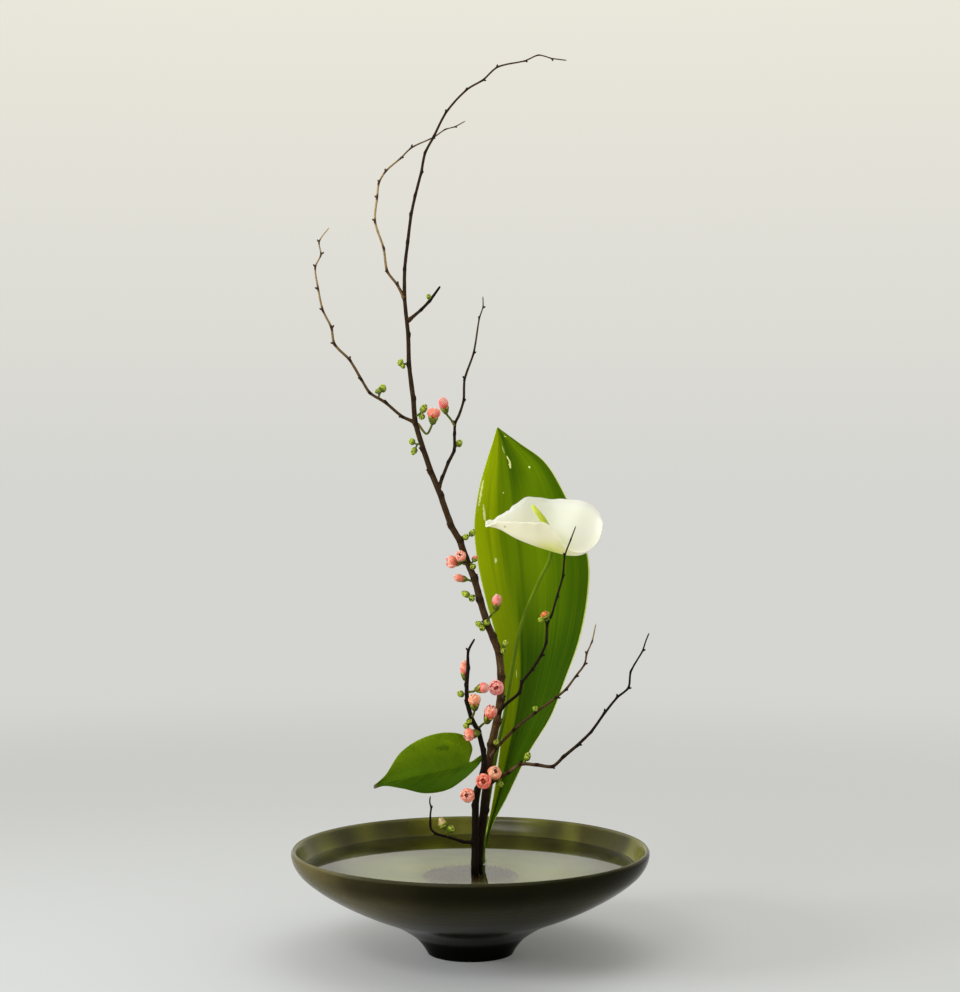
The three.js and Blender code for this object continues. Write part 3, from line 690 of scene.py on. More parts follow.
@dataclass(frozen=True)
class PetalFinish:
    """A quince petal: deep in its throat, pale and blushed towards its rim, veined."""

    name: str
    face: Colour
    back: Colour
    throat: Colour
    tip: Colour

    def make(self) -> Material:
        """Builds the material; the UV map runs across and along each petal."""
        shader = Shader(self.name, Subsurface_Weight=0.45, Subsurface_Radius=(1.0, 0.5, 0.4),
                        Subsurface_Scale=0.002, Roughness=0.55, Specular_IOR_Level=0.2,
                        Sheen_Weight=0.2, Sheen_Roughness=0.5)
        across, along, _ = shader.split(shader.layer("UVMap"))
        outer = shader.layer("outer", "Fac")
        veins = shader.streaks(across, along, 13, 1.4, 3)
        blush = shader.noise(shader.place(), 190, 1)
        depth = shader.times(shader.fade(along, 0.42, 0.1), shader.fade(outer, 0, 1, 1.0, 0.3))
        shader.relief(veins, 0.3, 0.12)
        return shader.dress(Base_Color=shader.coats(
            self.face, (outer, self.back),
            (shader.fade(veins, 0.5, 0.72, 0.0, 0.16), self.throat),
            (shader.fade(blush, 0.42, 0.66, 0.0, 0.5), self.tip),
            (depth, self.throat),
            (shader.fade(along, 0.66, 1.0, 0.0, 0.65), self.tip)))


@dataclass(frozen=True)
class GreenFinish:
    """Fresh skin of buds, sepals and stamens, ribbed, with painted shade at the foot and a
    painted highlight towards the tip.
    """

    name: str
    body: Colour
    shade: Colour
    light: Colour

    def make(self) -> Material:
        """Builds the material; the UV map runs across and along each scale."""
        shader = Shader(self.name, Specular_IOR_Level=0.3, Roughness=0.42)
        across, along, _ = shader.split(shader.layer("UVMap"))
        lines = shader.streaks(across, along, 9, 1)
        patches = shader.noise(shader.place(), 220, 2)
        shader.relief(lines, 0.4, 0.1)
        return shader.dress(Base_Color=shader.coats(
            self.shade, (shader.fade(patches, 0.3, 0.7), self.body),
            # painted shade at the foot
            (shader.fade(along, 0.0, 0.4, 0.5, 0.0), self.shade),
            (shader.fade(lines, 0.5, 0.68, 0.0, 0.35), self.light),
            # painted highlight towards the tip
            (shader.fade(along, 0.45, 1.0, 0.0, 0.8), self.light)))


@dataclass(frozen=True)
class StalkFinish:
    """Smooth skin of a long stalk, with fine lengthwise ribs and a paler upper end."""

    name: str
    body: Colour
    shade: Colour
    light: Colour

    def make(self) -> Material:
        """Builds the material; the layer bark is the place on the unrolled stalk."""
        shader = Shader(self.name, Specular_IOR_Level=0.12, Roughness=0.45)
        around = shader.layer("bark")
        ribs = shader.noise(shader.mapped(around, (2.2, 2.2, 0.012)), 1.0, 2)
        drift = shader.noise(shader.mapped(around, (0.1, 0.1, 0.05)), 1.0, 2)
        _, _, height = shader.split(shader.place())
        shader.relief(ribs, 0.3, 0.12)
        return shader.dress(Base_Color=shader.coats(
            self.shade, (shader.fade(drift, 0.35, 0.65), self.body),
            (shader.fade(height, 0.1, 0.34, 0.0, 0.5), self.light),
            (shader.fade(ribs, 0.45, 0.65, 0.0, 0.3), self.light)))


@dataclass(frozen=True)
class Fleck:
    """A mark on a leaf or on the hood: its place, its half sizes and its slant."""

    across: float
    along: float
    wide: float
    long: float
    slant: float = 0.0


def spot(shader: Shader, across: Socket, along: Socket, fleck: Fleck,
         softness: float = 0.3) -> Socket:
    """How much of a spot shows at a place: 1 inside it, ragged at its edge.

    Args:
        shader: The material's nodes.
        across: The place across the blade.
        along: The place along the blade.
        fleck: The spot.
        softness: How wide its edge is, against its size.

    Returns:
        The share.
    """
    up = shader.math("SUBTRACT", along, fleck.along)
    side = shader.math("SUBTRACT", across, fleck.across)
    side = shader.math("SUBTRACT", side, shader.times(up, fleck.slant))
    reach = shader.reach(shader.math("DIVIDE", side, fleck.wide),
                         shader.math("DIVIDE", up, fleck.long))
    ragged = shader.fade(shader.noise(shader.place(), 520, 2), 0.3, 0.7, -0.35, 0.35)
    return shader.fade(shader.math("ADD", reach, ragged), 1.05, 1.05 - softness)


STRAP_LEAF_SCARS = (
    Fleck(0.42, 0.895, 0.009, 0.016, -1.6),
    Fleck(0.512, 0.856, 0.012, 0.014, -1.0),
    Fleck(0.52, 0.839, 0.018, 0.010, 0.5),
    Fleck(0.76, 0.83, 0.010, 0.003),
    Fleck(0.038, 0.765, 0.016, 0.033),
    Fleck(0.112, 0.718, 0.014, 0.021, -1.0),
    Fleck(0.36, 0.7625, 0.006, 0.002),
    Fleck(0.21, 0.6125, 0.014, 0.006, 0.5),
    Fleck(0.31, 0.395, 0.007, 0.008, -0.2),
    Fleck(0.7, 0.955, 0.06, 0.003),
)


@dataclass(frozen=True)
class StrapLeafFinish:
    """A long leaf with parallel veins, a creased midrib, a pale rim and a few scars, with
    painted light on its left half and painted shade towards its right edge, in the crease of
    its midrib and on its lower part.
    """

    # light green: painted light on the left half, and the veins
    light: Colour = linear(160, 182, 0)
    body: Colour = linear(104, 134, 0)
    # deep green: painted shade towards the right edge and in the midrib's crease
    deep: Colour = linear(62, 94, 0)
    # the lower part's painted light and painted shade, both darker than above
    lower_lit_side: Colour = linear(122, 144, 0)
    lower_shaded_side: Colour = linear(46, 76, 0)
    rim: Colour = linear(206, 218, 110)
    scar: Colour = linear(238, 245, 160)

    def make(self) -> Material:
        """Builds the material; the UV map runs across and along the blade."""
        shader = Shader("strap_leaf_green", Specular_IOR_Level=0.05, Roughness=0.5)
        across, along, _ = shader.split(shader.layer("UVMap"))
        lines = shader.streaks(across, along, 60, 2.5)
        bands = shader.streaks(across, along, 7, 1.1)
        wander = shader.math("ADD", across, shader.fade(bands, 0.3, 0.7, -0.05, 0.05))
        # painted light and shade across the blade: lit on the left half, shaded towards the
        # right edge, and near the tip shaded just right of the midrib
        high = shader.tones(wander, ((0.0, self.light), (0.18, self.light),
                                     (0.34, self.body), (0.47, self.body),
                                     (0.54, self.deep), (0.78, self.body),
                                     (1.0, self.deep)))
        middle = shader.tones(wander, ((0.0, self.light), (0.16, self.light),
                                       (0.3, self.body), (0.66, self.body),
                                       (0.86, self.deep), (1.0, self.deep)))
        # the lower part, painted darker as painted shade
        low = shader.tones(wander, ((0.0, self.lower_lit_side), (0.3, self.lower_lit_side),
                                    (0.38, self.body), (0.42, self.lower_shaded_side),
                                    (1.0, self.lower_shaded_side)))
        side = shader.off_middle(across)
        scars = [(spot(shader, across, along, fleck), self.scar)
                 for fleck in STRAP_LEAF_SCARS]
        shader.relief(lines, 0.4, 0.2)
        return shader.dress(Base_Color=shader.coats(
            middle, (shader.fade(along, 0.66, 0.84), high),
            (shader.fade(along, 0.62, 0.42), low),
            (shader.fade(bands, 0.5, 0.72, 0.0, 0.25), self.deep),
            (shader.fade(lines, 0.48, 0.7, 0.0, 0.08), self.light),
            # painted shade in the crease along the midrib
            (shader.fade(side, 0.003, 0.03, 0.55, 0.0), self.deep),
            (shader.fade(side, 0.487, 0.495, 0.0, 0.8), self.rim),
            *scars))


@dataclass(frozen=True)
class RoundLeafFinish:
    """A broad leaf with curved side veins and a dry tip, painted lighter on its upper half as
    painted light and darker on its lower half as painted shade, with a painted highlight on a
    ridge and painted shade under it.
    """

    body: Colour = linear(72, 100, 0)
    light: Colour = linear(110, 138, 4)
    deep: Colour = linear(44, 76, 0)
    rim: Colour = linear(150, 172, 60)
    dry: Colour = linear(124, 112, 90)
    # painted highlight on a ridge, painted shade just under it, and a painted shadow on the
    # lower half near the stalk
    shine: Fleck = Fleck(0.12, 0.46, 0.03, 0.07, -0.35)
    shade_under_fold: Fleck = Fleck(0.2, 0.475, 0.045, 0.07, -0.35)
    shadow: Fleck = Fleck(0.6, 0.24, 0.16, 0.12, 0.4)
    vein_pairs: float = 7.5
    vein_lean: float = 0.55

    def make(self) -> Material:
        """Builds the material; the UV map runs across and along the blade."""
        shader = Shader("round_leaf_green", Specular_IOR_Level=0.06, Roughness=0.45)
        across, along, _ = shader.split(shader.layer("UVMap"))
        side = shader.off_middle(across)
        bent = shader.math("SUBTRACT", along, shader.times(side, self.vein_lean))
        wave = shader.math("SINE", shader.times(bent, self.vein_pairs * TURN))
        veins = shader.fade(wave, 0.9, 1.0)
        patches = shader.noise(shader.place(), 34, 3)
        net = shader.noise(shader.place(), 620, 2)
        # painted light in patches on the upper half
        lit = shader.times(shader.fade(across, 0.42, 0.12),
                           shader.fade(patches, 0.42, 0.62, 0.0, 0.6))
        # the painted highlight, shade and shadow, laid on as marks
        marks = [(shader.times(spot(shader, across, along, fleck, 0.8), share), tone)
                 for fleck, tone, share in ((self.shine, self.light, 0.75),
                                            (self.shade_under_fold, self.deep, 0.6),
                                            (self.shadow, self.deep, 0.7))]
        normal = shader.relief(veins, 0.35, 0.3)
        shader.relief(net, 0.2, 0.1, normal)
        return shader.dress(Base_Color=shader.coats(
            # painted shade on the lower half
            self.body, (shader.fade(across, 0.4, 0.85, 0.0, 0.7), self.deep),
            (lit, self.light),
            (shader.fade(patches, 0.35, 0.6, 0.4, 0.0), self.deep),
            (shader.fade(net, 0.35, 0.6, 0.2, 0.0), self.deep),
            *marks,
            (shader.times(veins, 0.06), self.light),
            (shader.fade(side, 0.004, 0.016, 0.15, 0.0), self.light),
            (shader.fade(side, 0.488, 0.497, 0.0, 0.7), self.rim),
            (shader.fade(along, 0.94, 0.99), self.dry)))


@dataclass(frozen=True)
class SpatheFinish:
    """White waxy hood, ivory in its folds and green where the stem joins it."""

    white: Colour = linear(244, 241, 217)
    ivory: Colour = linear(244, 238, 204)
    green: Colour = linear(206, 216, 92)
    brown: Colour = linear(150, 120, 84)
    stem: Point = (0.067, -0.014, 0.3375)
    bruise: Fleck = Fleck(0.15, 0.178, 0.052, 0.013, -2.0)

    def make(self) -> Material:
        """Builds the material; the UV map runs from rim to rim and from point to lobe."""
        shader = Shader("spathe_white", Specular_IOR_Level=0.2, Subsurface_Weight=0.7,
                        Subsurface_Radius=(1.0, 0.9, 0.6), Subsurface_Scale=0.008)
        across, along, _ = shader.split(shader.layer("UVMap"))
        place = shader.place()
        patches = shader.noise(place, 30, 3)
        folds = shader.times(shader.fade(across, 0.52, 0.4), shader.fade(along, 0.9, 0.66))
        away = shader.add("ShaderNodeVectorMath", {0: place, 1: self.stem},
                          operation="DISTANCE").outputs["Value"]
        bruised = shader.times(spot(shader, across, along, self.bruise, 0.6), 0.6)
        veins = shader.streaks(shader.math("SUBTRACT", across, 0.5), along, 26, 2)
        colour = shader.coats(
            self.white, (folds, self.ivory),
            (shader.fade(patches, 0.45, 0.7, 0.0, 0.2), self.ivory),
            (shader.fade(away, 0.024, 0.004, 0.0, 0.8), self.green),
            (bruised, self.brown),
            (shader.fade(veins, 0.52, 0.7, 0.0, 0.22), self.ivory))
        shader.relief(veins, 0.35, 0.35)
        return shader.dress(Base_Color=colour,
                            Roughness=shader.fade(patches, 0.3, 0.7, 0.32, 0.44))


@dataclass(frozen=True)
class SpadixFinish:
    """Florets, green in their joints and yellow on their crowns, paler at the tip."""

    joint: Colour = linear(112, 132, 12)
    crown: Colour = linear(188, 204, 34)
    tip: Colour = linear(214, 222, 96)

    def make(self) -> Material:
        """Builds the material; the layers crown and share are set on the mesh."""
        shader = Shader("spadix_florets", Roughness=0.5, Subsurface_Weight=0.1,
                        Subsurface_Scale=0.001)
        crown, share = shader.layer("crown", "Fac"), shader.layer("share", "Fac")
        grain = shader.noise(shader.place(), 2600, 2)
        shader.relief(grain, 0.3, 0.05)
        return shader.dress(Base_Color=shader.coats(
            self.joint, (shader.fade(crown, 0.1, 0.8), self.crown),
            (shader.fade(share, 0.6, 1.0, 0.0, 0.6), self.tip),
            (shader.fade(grain, 0.45, 0.7, 0.0, 0.3), self.tip)))


# ---------------------------------------------------------------- bowl, pin holder, water


@dataclass
class Bowl:
    """A footed shallow bowl, turned in stoneware."""

    foot_top: float = 17.0  # the glaze is thick and dull under this height
    segments: int = 192
    inside: Profile = (
        (44, 24), (62, 30), (85, 40), (108, 51.5), (129, 64.5), (140, 74), (145, 84))
    under: Profile = ((0, 8), (21.3, 8), (26.2, 7.2), (29, 1.2), (30, 0), (35.2, 0))
    outside: Profile = (
        (36, 0), (38, 3.5), (41.5, 8.5), (46, 13.5), (54, 19.5), (68, 27.5), (90, 36.8),
        (113, 48.2), (132.5, 60.5), (143.5, 70), (148.5, 78), (150, 84.5))
    lip: Profile = ((149.6, 86.4), (148.4, 87.8), (146.9, 87.6), (145.8, 86.2))
    lip_start: float = 83.0
    ring_depth: float = 0.05  # how deep the potter's finger marks are
    glazes: tuple[tuple[str, float], ...] = (
        ("olive_glaze_outside", 0.035), ("olive_glaze_inside", 0.19),
        ("olive_glaze_foot", 0.008))  # each with its gloss

    def profile(self) -> list[tuple[float, float]]:
        """The section from axis to axis, under the bowl first."""
        outer = self.smooth((*self.outside, *self.lip[:2]), 64)
        inner = self.smooth((*self.inside, *reversed(self.lip[2:])), 52)
        flat = [(r, self.inside[0][1]) for r in (36, 24, 12, 0)]
        return [*self.under, *outer, *reversed(inner), *flat]

    def smooth(self, points: Profile, steps: int) -> list[tuple[float, float]]:
        """Draws a wall with faint finger marks clear of its ends.

        Args:
            points: Radii and heights that it passes through.
            steps: How many parts it has.

        Returns:
            Its radii and heights.
        """
        line = section(points)
        found = []
        for i in range(steps + 1):
            place = line.along(i / steps)
            clear = ease(0, 6, i) * ease(steps, steps - 9, i)
            mark = 1 + math.sin(i * 1.9) * clear
            found.append((place.x - self.ring_depth * mark * clear, place.z))
        return found

    def build(self) -> Piece:
        """Turns the bowl and glazes it."""
        bm = bmesh.new()
        turned(bm, self.profile(), self.segments)
        inner = bm.verts.layers.float.new("inner")
        lip = bm.verts.layers.float.new("lip")
        wall = section(self.inside)
        places = [wall.along(i / 60) for i in range(61)]
        floor = self.inside[0][1] - 1
        for vert in bm.verts:
            below = [p.x for p in places if p.z <= vert.co.z + 0.3]
            limit = (below[-1] if below else 0.0) + 2.0
            within = math.hypot(vert.co.x, vert.co.y) < limit and vert.co.z > floor
            vert[inner] = float(within)
            vert[lip] = ease(self.lip_start, self.lip[2][1], vert.co.z)
        paint([f for f in bm.faces if all(v[inner] > 0.5 for v in f.verts)], 1)
        paint([f for f in bm.faces if max(v.co.z for v in f.verts) < self.foot_top], 2)
        glazes = [GlazeFinish().make(*glaze) for glaze in self.glazes]
        return finish_piece(bm, "bowl_glazed", glazes, "bowl")


@dataclass
class Water:
    """The water that the bowl holds, up to its level, with its edge drawn up the wall."""

    level: float = 73.0
    gap: float = 0.3  # between the water and the glaze
    meniscus: float = 0.3  # how high the water is drawn up
    rings: tuple[float, ...] = (0.93, 0.85, 0.75, 0.65, 0.52, 0.4, 0.3, 0.24)
    middle: int = 30  # the radius in which the surface is fine enough to rise at the stems
    stems: tuple[Point, ...] = ((6.9, 0, 3.7), (3.8, -9.3, 3.5), (11.3, 15, 1.9),
                                (9.7, 7.7, 1.9), (1.9, -3, 1.2))  # place and radius

    def build(self, bowl: Bowl) -> Piece:
        """Fills the bowl.

        Args:
            bowl: The bowl, whose inside wall the water follows.

        Returns:
            The water's body.
        """
        wall = section(bowl.inside)
        places = [wall.along(i / 80) for i in range(81)]
        side = [(p.x - self.gap, p.z + self.gap) for p in places if p.z < self.level]
        edge = side[-1][0] + 0.5
        drawn_up = [(edge, self.level + self.meniscus), (edge - 0.7, self.level + 0.08),
                    (edge - 2, self.level)]
        radii = [*(edge * share for share in self.rings), *range(self.middle, -1, -1)]
        floor = [(r, bowl.inside[0][1] + self.gap) for r in (0, 15, 30)]
        bm = bmesh.new()
        turned(bm, [*floor, *side, *drawn_up, *((r, self.level) for r in radii)],
               bowl.segments)
        surface = self.level - 0.5
        for vert in [v for v in bm.verts if v.co.z > surface]:
            for x, y, radius in self.stems:
                away = math.hypot(vert.co.x - x, vert.co.y - y) - radius
                vert.co.z += self.meniscus * 2 * math.exp(-max(away, 0) / 0.9)
        paint([f for f in bm.faces if f.calc_center_median().z < surface], 1)
        return finish_piece(bm, "water_body", WaterFinish().make(), "water")


@dataclass
class PinHolder:
    """A heavy round base set with upright pins."""

    radius: float = 40.0
    bottom: float = 24.3
    top: float = 32.3
    pin_top: float = 44.3
    pitch: float = 4.7
    pin_radius: float = 0.85
    pin_root: float = 0.5  # how deep a pin stands in the base
    shank: float = 0.55  # the straight share of a pin
    chamfer: float = 1.0
    margin: float = 3.0  # the rim without pins

    def build(self) -> Piece:
        """Casts the base and sets the pins."""
        bm = bmesh.new()
        self.cone(bm, 120, (self.radius, self.radius), (0, 0), (self.bottom, self.top))
        rims = [e for e in bm.edges if abs(e.verts[0].co.z - e.verts[1].co.z) < 0.1]
        bmesh.ops.bevel(bm, geom=rims, offset=self.chamfer, offset_type="OFFSET",
                        affect="EDGES", segments=3, profile=0.5, material=-1)
        row_height = self.pitch * math.sqrt(3) / 2
        reach = self.radius - self.margin
        rows = int(reach / row_height)
        for row in range(-rows, rows + 1):
            shift = 0 if row % 2 == 0 else self.pitch / 2
            columns = int(reach / self.pitch)
            for column in range(-columns - 1, columns + 1):
                x, y = column * self.pitch + shift, row * row_height
                if math.hypot(x, y) <= reach:
                    self.pin(bm, x, y)
        finish = HolderFinish().make(self.top * MM)
        return finish_piece(bm, "pin_holder_set", [finish], "pin_holder")

    def pin(self, bm: BMesh, x: float, y: float) -> None:
        """Sets one pin: a straight shank that is ground to a point."""
        base = self.top - self.pin_root
        waist = base + (self.pin_top - base) * self.shank
        slim = self.pin_radius * 0.9
        self.cone(bm, 8, (self.pin_radius, slim), (x, y), (base, waist))
        self.cone(bm, 8, (slim, 0.12), (x, y), (waist, self.pin_top))

    @staticmethod
    def cone(bm: BMesh, sides: int, radii: tuple[float, float],
             place: tuple[float, float], heights: tuple[float, float]) -> None:
        """Adds an upright round bar.

        Args:
            bm: The mesh.
            sides: Faces around.
            radii: The radii at its foot and at its top.
            place: Where it stands.
            heights: Its foot and its top.
        """
        foot, top = heights
        bmesh.ops.create_cone(bm, cap_ends=True, segments=sides, radius1=radii[0],
                              radius2=radii[1], depth=top - foot,
                              matrix=Matrix.Translation((*place, (foot + top) / 2)))


# ---------------------------------------------------------------- quince wood


@dataclass(frozen=True)
class Limb:
    """A limb from its root to its tip: its route, its radii at even shares and its tone.

    The tone goes from 0, black-brown, to 1, tan, and is given at even shares too.
    """

    route: tuple[Point, ...]
    radii: tuple[float, ...]
    tone: tuple[float, ...] = (0.3, 0.3)
    sides: int = 10
    trunk: bool = False


MAIN_BRANCH = (
    Limb(((6.5, 0, 32.7), (6.5, 0, 60), (8, 0, 94), (11.5, 1, 119), (14.5, 2, 148),
          (18, 2, 173), (22, 1, 193), (25, 0, 212), (25.5, -1, 231), (23.5, -3, 251),
          (18.5, -4, 265), (14, -5, 276), (8, -7, 296), (3, -8, 314), (-4, -9, 331),
          (-9, -9, 345), (-16, -9, 358), (-25, -8, 383), (-33, -7, 403), (-39.5, -6, 422),
          (-46, -5, 444), (-48, -3, 464), (-51.5, 0, 493), (-52.5, 3, 518), (-55.5, 6, 549),
          (-55.5, 8, 574), (-53, 8, 597), (-50, 7, 620), (-46.5, 6, 636), (-41.5, 4, 655),
          (-38, 2, 671), (-31, 0, 684), (-20, -5, 704), (-3, -12, 721), (10.5, -18, 728),
          (22.5, -24, 737), (45, -32, 740.5), (56, -36, 744), (67, -40, 740.5),
          (78.5, -44, 738)),
         (3.7, 3.6, 3.5, 3.3, 3.1, 2.9, 2.7, 2.4, 2.1, 1.8, 1.5, 1.3, 1.1, 0.9, 0.7, 0.45),
         tone=(0, 0.06, 0.44, 0.26, 0.22, 0.2, 0.18, 0.16, 0.18, 0.28, 0.38),
         sides=16, trunk=True),
    Limb(((-55.5, 6, 549), (-62, 9, 561), (-70.5, 14, 573), (-74, 20, 593),
          (-81.5, 26, 617), (-80, 30, 638), (-78.5, 32, 651), (-73, 34, 661),
          (-60, 36, 673), (-51, 38, 682), (-32, 42, 692), (-22, 44, 699), (-13.5, 46, 702),
          (-5, 48, 707)),
         (1.4, 1.2, 1.1, 1, 0.9, 0.7, 0.5), tone=(0.5, 0.75, 0.85, 0.8, 0.55, 0.6)),
    Limb(((-46, -5, 444), (-57, -11, 449), (-70.5, -18, 460), (-83, -25, 468),
          (-90, -30, 479), (-99, -35, 494), (-111, -40, 507), (-113.5, -43, 520),
          (-120, -47, 534), (-123.5, -50, 551), (-125.5, -53, 568), (-121, -55, 578),
          (-122, -57, 588), (-114, -60, 599)),
         (1.5, 1.4, 1.3, 1.2, 1, 0.8, 0.5), tone=(0.3, 0.5, 0.72, 0.8, 0.95)),
    Limb(((-52.5, 3, 530), (-42, 12, 540), (-35, 17, 548), (-26, 23, 561)),
         (1.6, 1.5, 1.4, 1.1), tone=(0.25, 0.06)),
    Limb(((-27, -8, 388), (-23.5, -2, 398), (-18.5, 5, 411), (-14, 9, 421),
          (-13.5, 13, 435), (-13, 15, 444), (-9.5, 17, 452), (-6, 20, 464), (-5, 24, 482),
          (2.5, 29, 505), (7.5, 34, 535), (10.5, 36, 545), (10.5, 38, 554)),
         (1.7, 1.5, 1.3, 1.1, 0.9, 0.5), tone=(0.2, 0.14, 0.2, 0.34)),
    Limb(((23, 0, 199), (29, -9, 208), (40.5, -19, 219.5), (43, -24, 228.5),
          (51, -31, 240), (58, -37, 252), (62, -42, 263), (63, -46, 278), (66, -49, 285),
          (70.5, -53, 301), (75, -57, 318), (76.5, -60, 334), (81, -63, 347),
          (85, -65, 358)),
         (1.5, 1.4, 1.25, 1.1, 0.95, 0.5), tone=(0.1, 0.08, 0.1, 0.1)),
    Limb(((17, 1, 163), (22, -5, 171.5), (36.5, -14, 188), (54, -20, 203), (71, -24, 216),
          (79, -26, 223), (87, -28, 234), (94, -30, 244), (96, -31, 253), (100, -33, 263),
          (103, -36, 277.5)),
         (1.6, 1.5, 1.3, 1.1, 0.9, 0.5), tone=(0.4, 0.3, 0.45, 0.85)),
    Limb(((12.5, 2, 136), (19, -7, 144), (32, -18, 153.5), (42, -26, 161),
          (55, -34, 161.5), (67.5, -40, 161.5), (76.5, -44, 170), (87.5, -48, 180),
          (98, -52, 191), (109, -56, 207), (119, -60, 220), (127.5, -62, 228),
          (129.5, -64, 241), (138.5, -67, 258), (141, -69, 266), (143.5, -70, 272.5)),
         (2, 1.8, 1.6, 1.5, 1.3, 1.1, 0.9, 0.6), tone=(0.5, 0.4, 0.2, 0.04, 0.03, 0.03)),
)

SECOND_STEM = (
    Limb(((3.5, -9, 32.7), (3.5, -9, 62), (4, -10, 93), (4.5, -12, 125), (6.5, -13, 138),
          (9.5, -14, 150), (11.5, -15, 160), (10.5, -16, 171), (6.5, -18, 187),
          (1.5, -19, 197), (-2.5, -20, 212), (-3, -20, 226), (-2, -20, 240),
          (-1.5, -20, 254), (3.5, -19, 264)),
         (3.4, 3.3, 3.1, 2.8, 2.4, 2.1, 1.9, 1.6, 0.8), tone=(0.0, 0.05), sides=14,
         trunk=True),
    Limb(((4, -10, 93), (-6, -14, 95), (-17, -18, 99), (-28, -22, 103), (-32.5, -23, 107),
          (-33, -24, 112), (-33, -25, 119), (-32.5, -25, 125), (-33.5, -26, 130),
          (-33, -26, 134.5)),
         (1.6, 1.4, 1.2, 1.1, 0.9, 0.6), tone=(0.05, 0.0)),
)


@dataclass
class QuinceWood:
    """Wood grown as one piece: limbs with swollen nodes, ridged bark and small spurs."""

    name: str
    node: str
    limbs: tuple[Limb, ...]
    seed: int
    ring_pitch: float = 1.4
    swelling: float = 0.3
    slim: float = 0.88  # how thin a twig is between its nodes
    node_pitch: float = 9.0  # the least distance between two nodes
    knot_length: float = 8.0  # how far a node's swelling reaches
    flare: float = 0.55  # how much a twig widens where it leaves the wood
    ridges: Profile = ((1.7, 0.11), (4.2, 0.3))  # how fine around and along
    ridge_heights: tuple[float, float] = (0.09, 0.05)
    spur_start: float = 81.0  # spurs grow above this height, clear of the water
    spur_share: float = 0.8

    def build(self, finish: Material) -> Piece:
        """Grows the limbs and unites them.

        Args:
            finish: The bark's material.

        Returns:
            The wood as one closed piece.
        """
        draw = random.Random(self.seed)
        solids = [solid for limb in self.limbs for solid in self.grow(limb, draw)]
        mesh = self.unite(solids)
        mesh.name = self.name
        return declare(mesh, [finish], self.node)

    def grow(self, limb: Limb, draw: random.Random) -> list[Piece]:
        """Grows a limb.

        Args:
            limb: The limb.
            draw: The wood's random numbers.

        Returns:
            Its bar and its spurs as separate closed solids.
        """
        route = Route(limb.route)
        rings = route.rings(max(int(route.length / self.ring_pitch), 4))
        steps = len(rings) - 1
        nodes = self.nodes_on(route, rings, draw)
        solids = [self.solid(route, self.girth(limb, route, nodes), limb.sides, steps,
                             limb.tone, nodes, 0.4 if limb.trunk else 0.8)]
        for place, side in nodes:
            share = place / route.length
            ring = rings[round(share * steps)]
            if ring.point.z > self.spur_start and draw.random() < self.spur_share:
                solids.append(self.spur(ring, side, read_profile(limb.radii, share),
                                        read_profile(limb.tone, share), draw))
        return solids

    def girth(self, limb: Limb, route: Route, nodes: Profile) -> Radius:
        """How thick a limb is: swollen on one side of each node, ridged, blunt at its tip.

        Args:
            limb: The limb.
            route: Its line.
            nodes: Its nodes' places and sides.

        Returns:
            Its radius from the share of its length and the turn.
        """
        def radius(share: float, turn: float) -> float:
            """The limb's radius."""
            at = share * route.length
            base = read_profile(limb.radii, share) * (1.0 if limb.trunk else self.slim)
            grown = base
            for place, side in nodes:
                if abs(at - place) < self.knot_length:
                    lean = 0.45 + 0.55 * math.cos(turn - side)
                    grown += (0.16 + self.swelling * base) * lean \
                        * hump(at, place, 1.3 + 0.4 * base)
            if not limb.trunk:
                grown += base * self.flare * math.exp(-max(at - 2.5, 0) / 2.2)
            rough = 1.0
            for (around, along), height in zip(self.ridges, self.ridge_heights):
                spot_on_bark = Vector((math.cos(turn) * around, math.sin(turn) * around,
                                       at * along + self.seed))
                rough += height * noise.noise(spot_on_bark)
            return grown * rough * (1 - 0.35 * ease(1 - 1.2 / route.length, 1.0, share))

        return radius

    def nodes_on(self, route: Route, rings: Sequence[Ring],
                 draw: random.Random) -> list[tuple[float, float]]:
        """Finds where buds sat, at a route's bends.

        Args:
            route: The limb's line.
            rings: The line's evenly spaced rings.
            draw: The wood's random numbers.

        Returns:
            Each node's place along the line and its side.
        """
        found: list[tuple[float, float]] = []
        for index in range(1, len(route.points) - 1):
            at = route.lengths[index * Route.SAMPLES]
            if found and at - found[-1][0] < self.node_pitch:
                continue
            ring = rings[round(at / route.length * (len(rings) - 1))]
            away = route.points[index] * 2 - route.points[index - 1] \
                - route.points[index + 1]
            side = math.atan2(away.dot(ring.binormal), away.dot(ring.normal))
            found.append((at, side + draw.uniform(-0.5, 0.5)))
        return found

    def spur(self, ring: Ring, side: float, wood: float, tone: float,
             draw: random.Random) -> Piece:
        """Grows a small pointed bud that leans forward out of a node.

        Args:
            ring: The wood's cross section at the node.
            side: The node's side.
            wood: The wood's radius there.
            tone: The wood's tone there.
            draw: The wood's random numbers.

        Returns:
            The spur as a closed solid.
        """
        out = (ring.out(side) + ring.tangent * 0.6).normalized()
        reach = wood + draw.uniform(0.9, 2.2)
        line = Route([tuple(ring.point), tuple(ring.point + out * reach * 0.6),
                      tuple(ring.point + out * reach + ring.tangent * 0.4)])
        size = 0.7 + 0.16 * wood
        profile = (size * 0.9, size * 0.95, size, size * 0.85, size * 0.35)
        return self.solid(line, tapering(profile), 7, 6, (tone * 0.5, tone * 0.2), [])

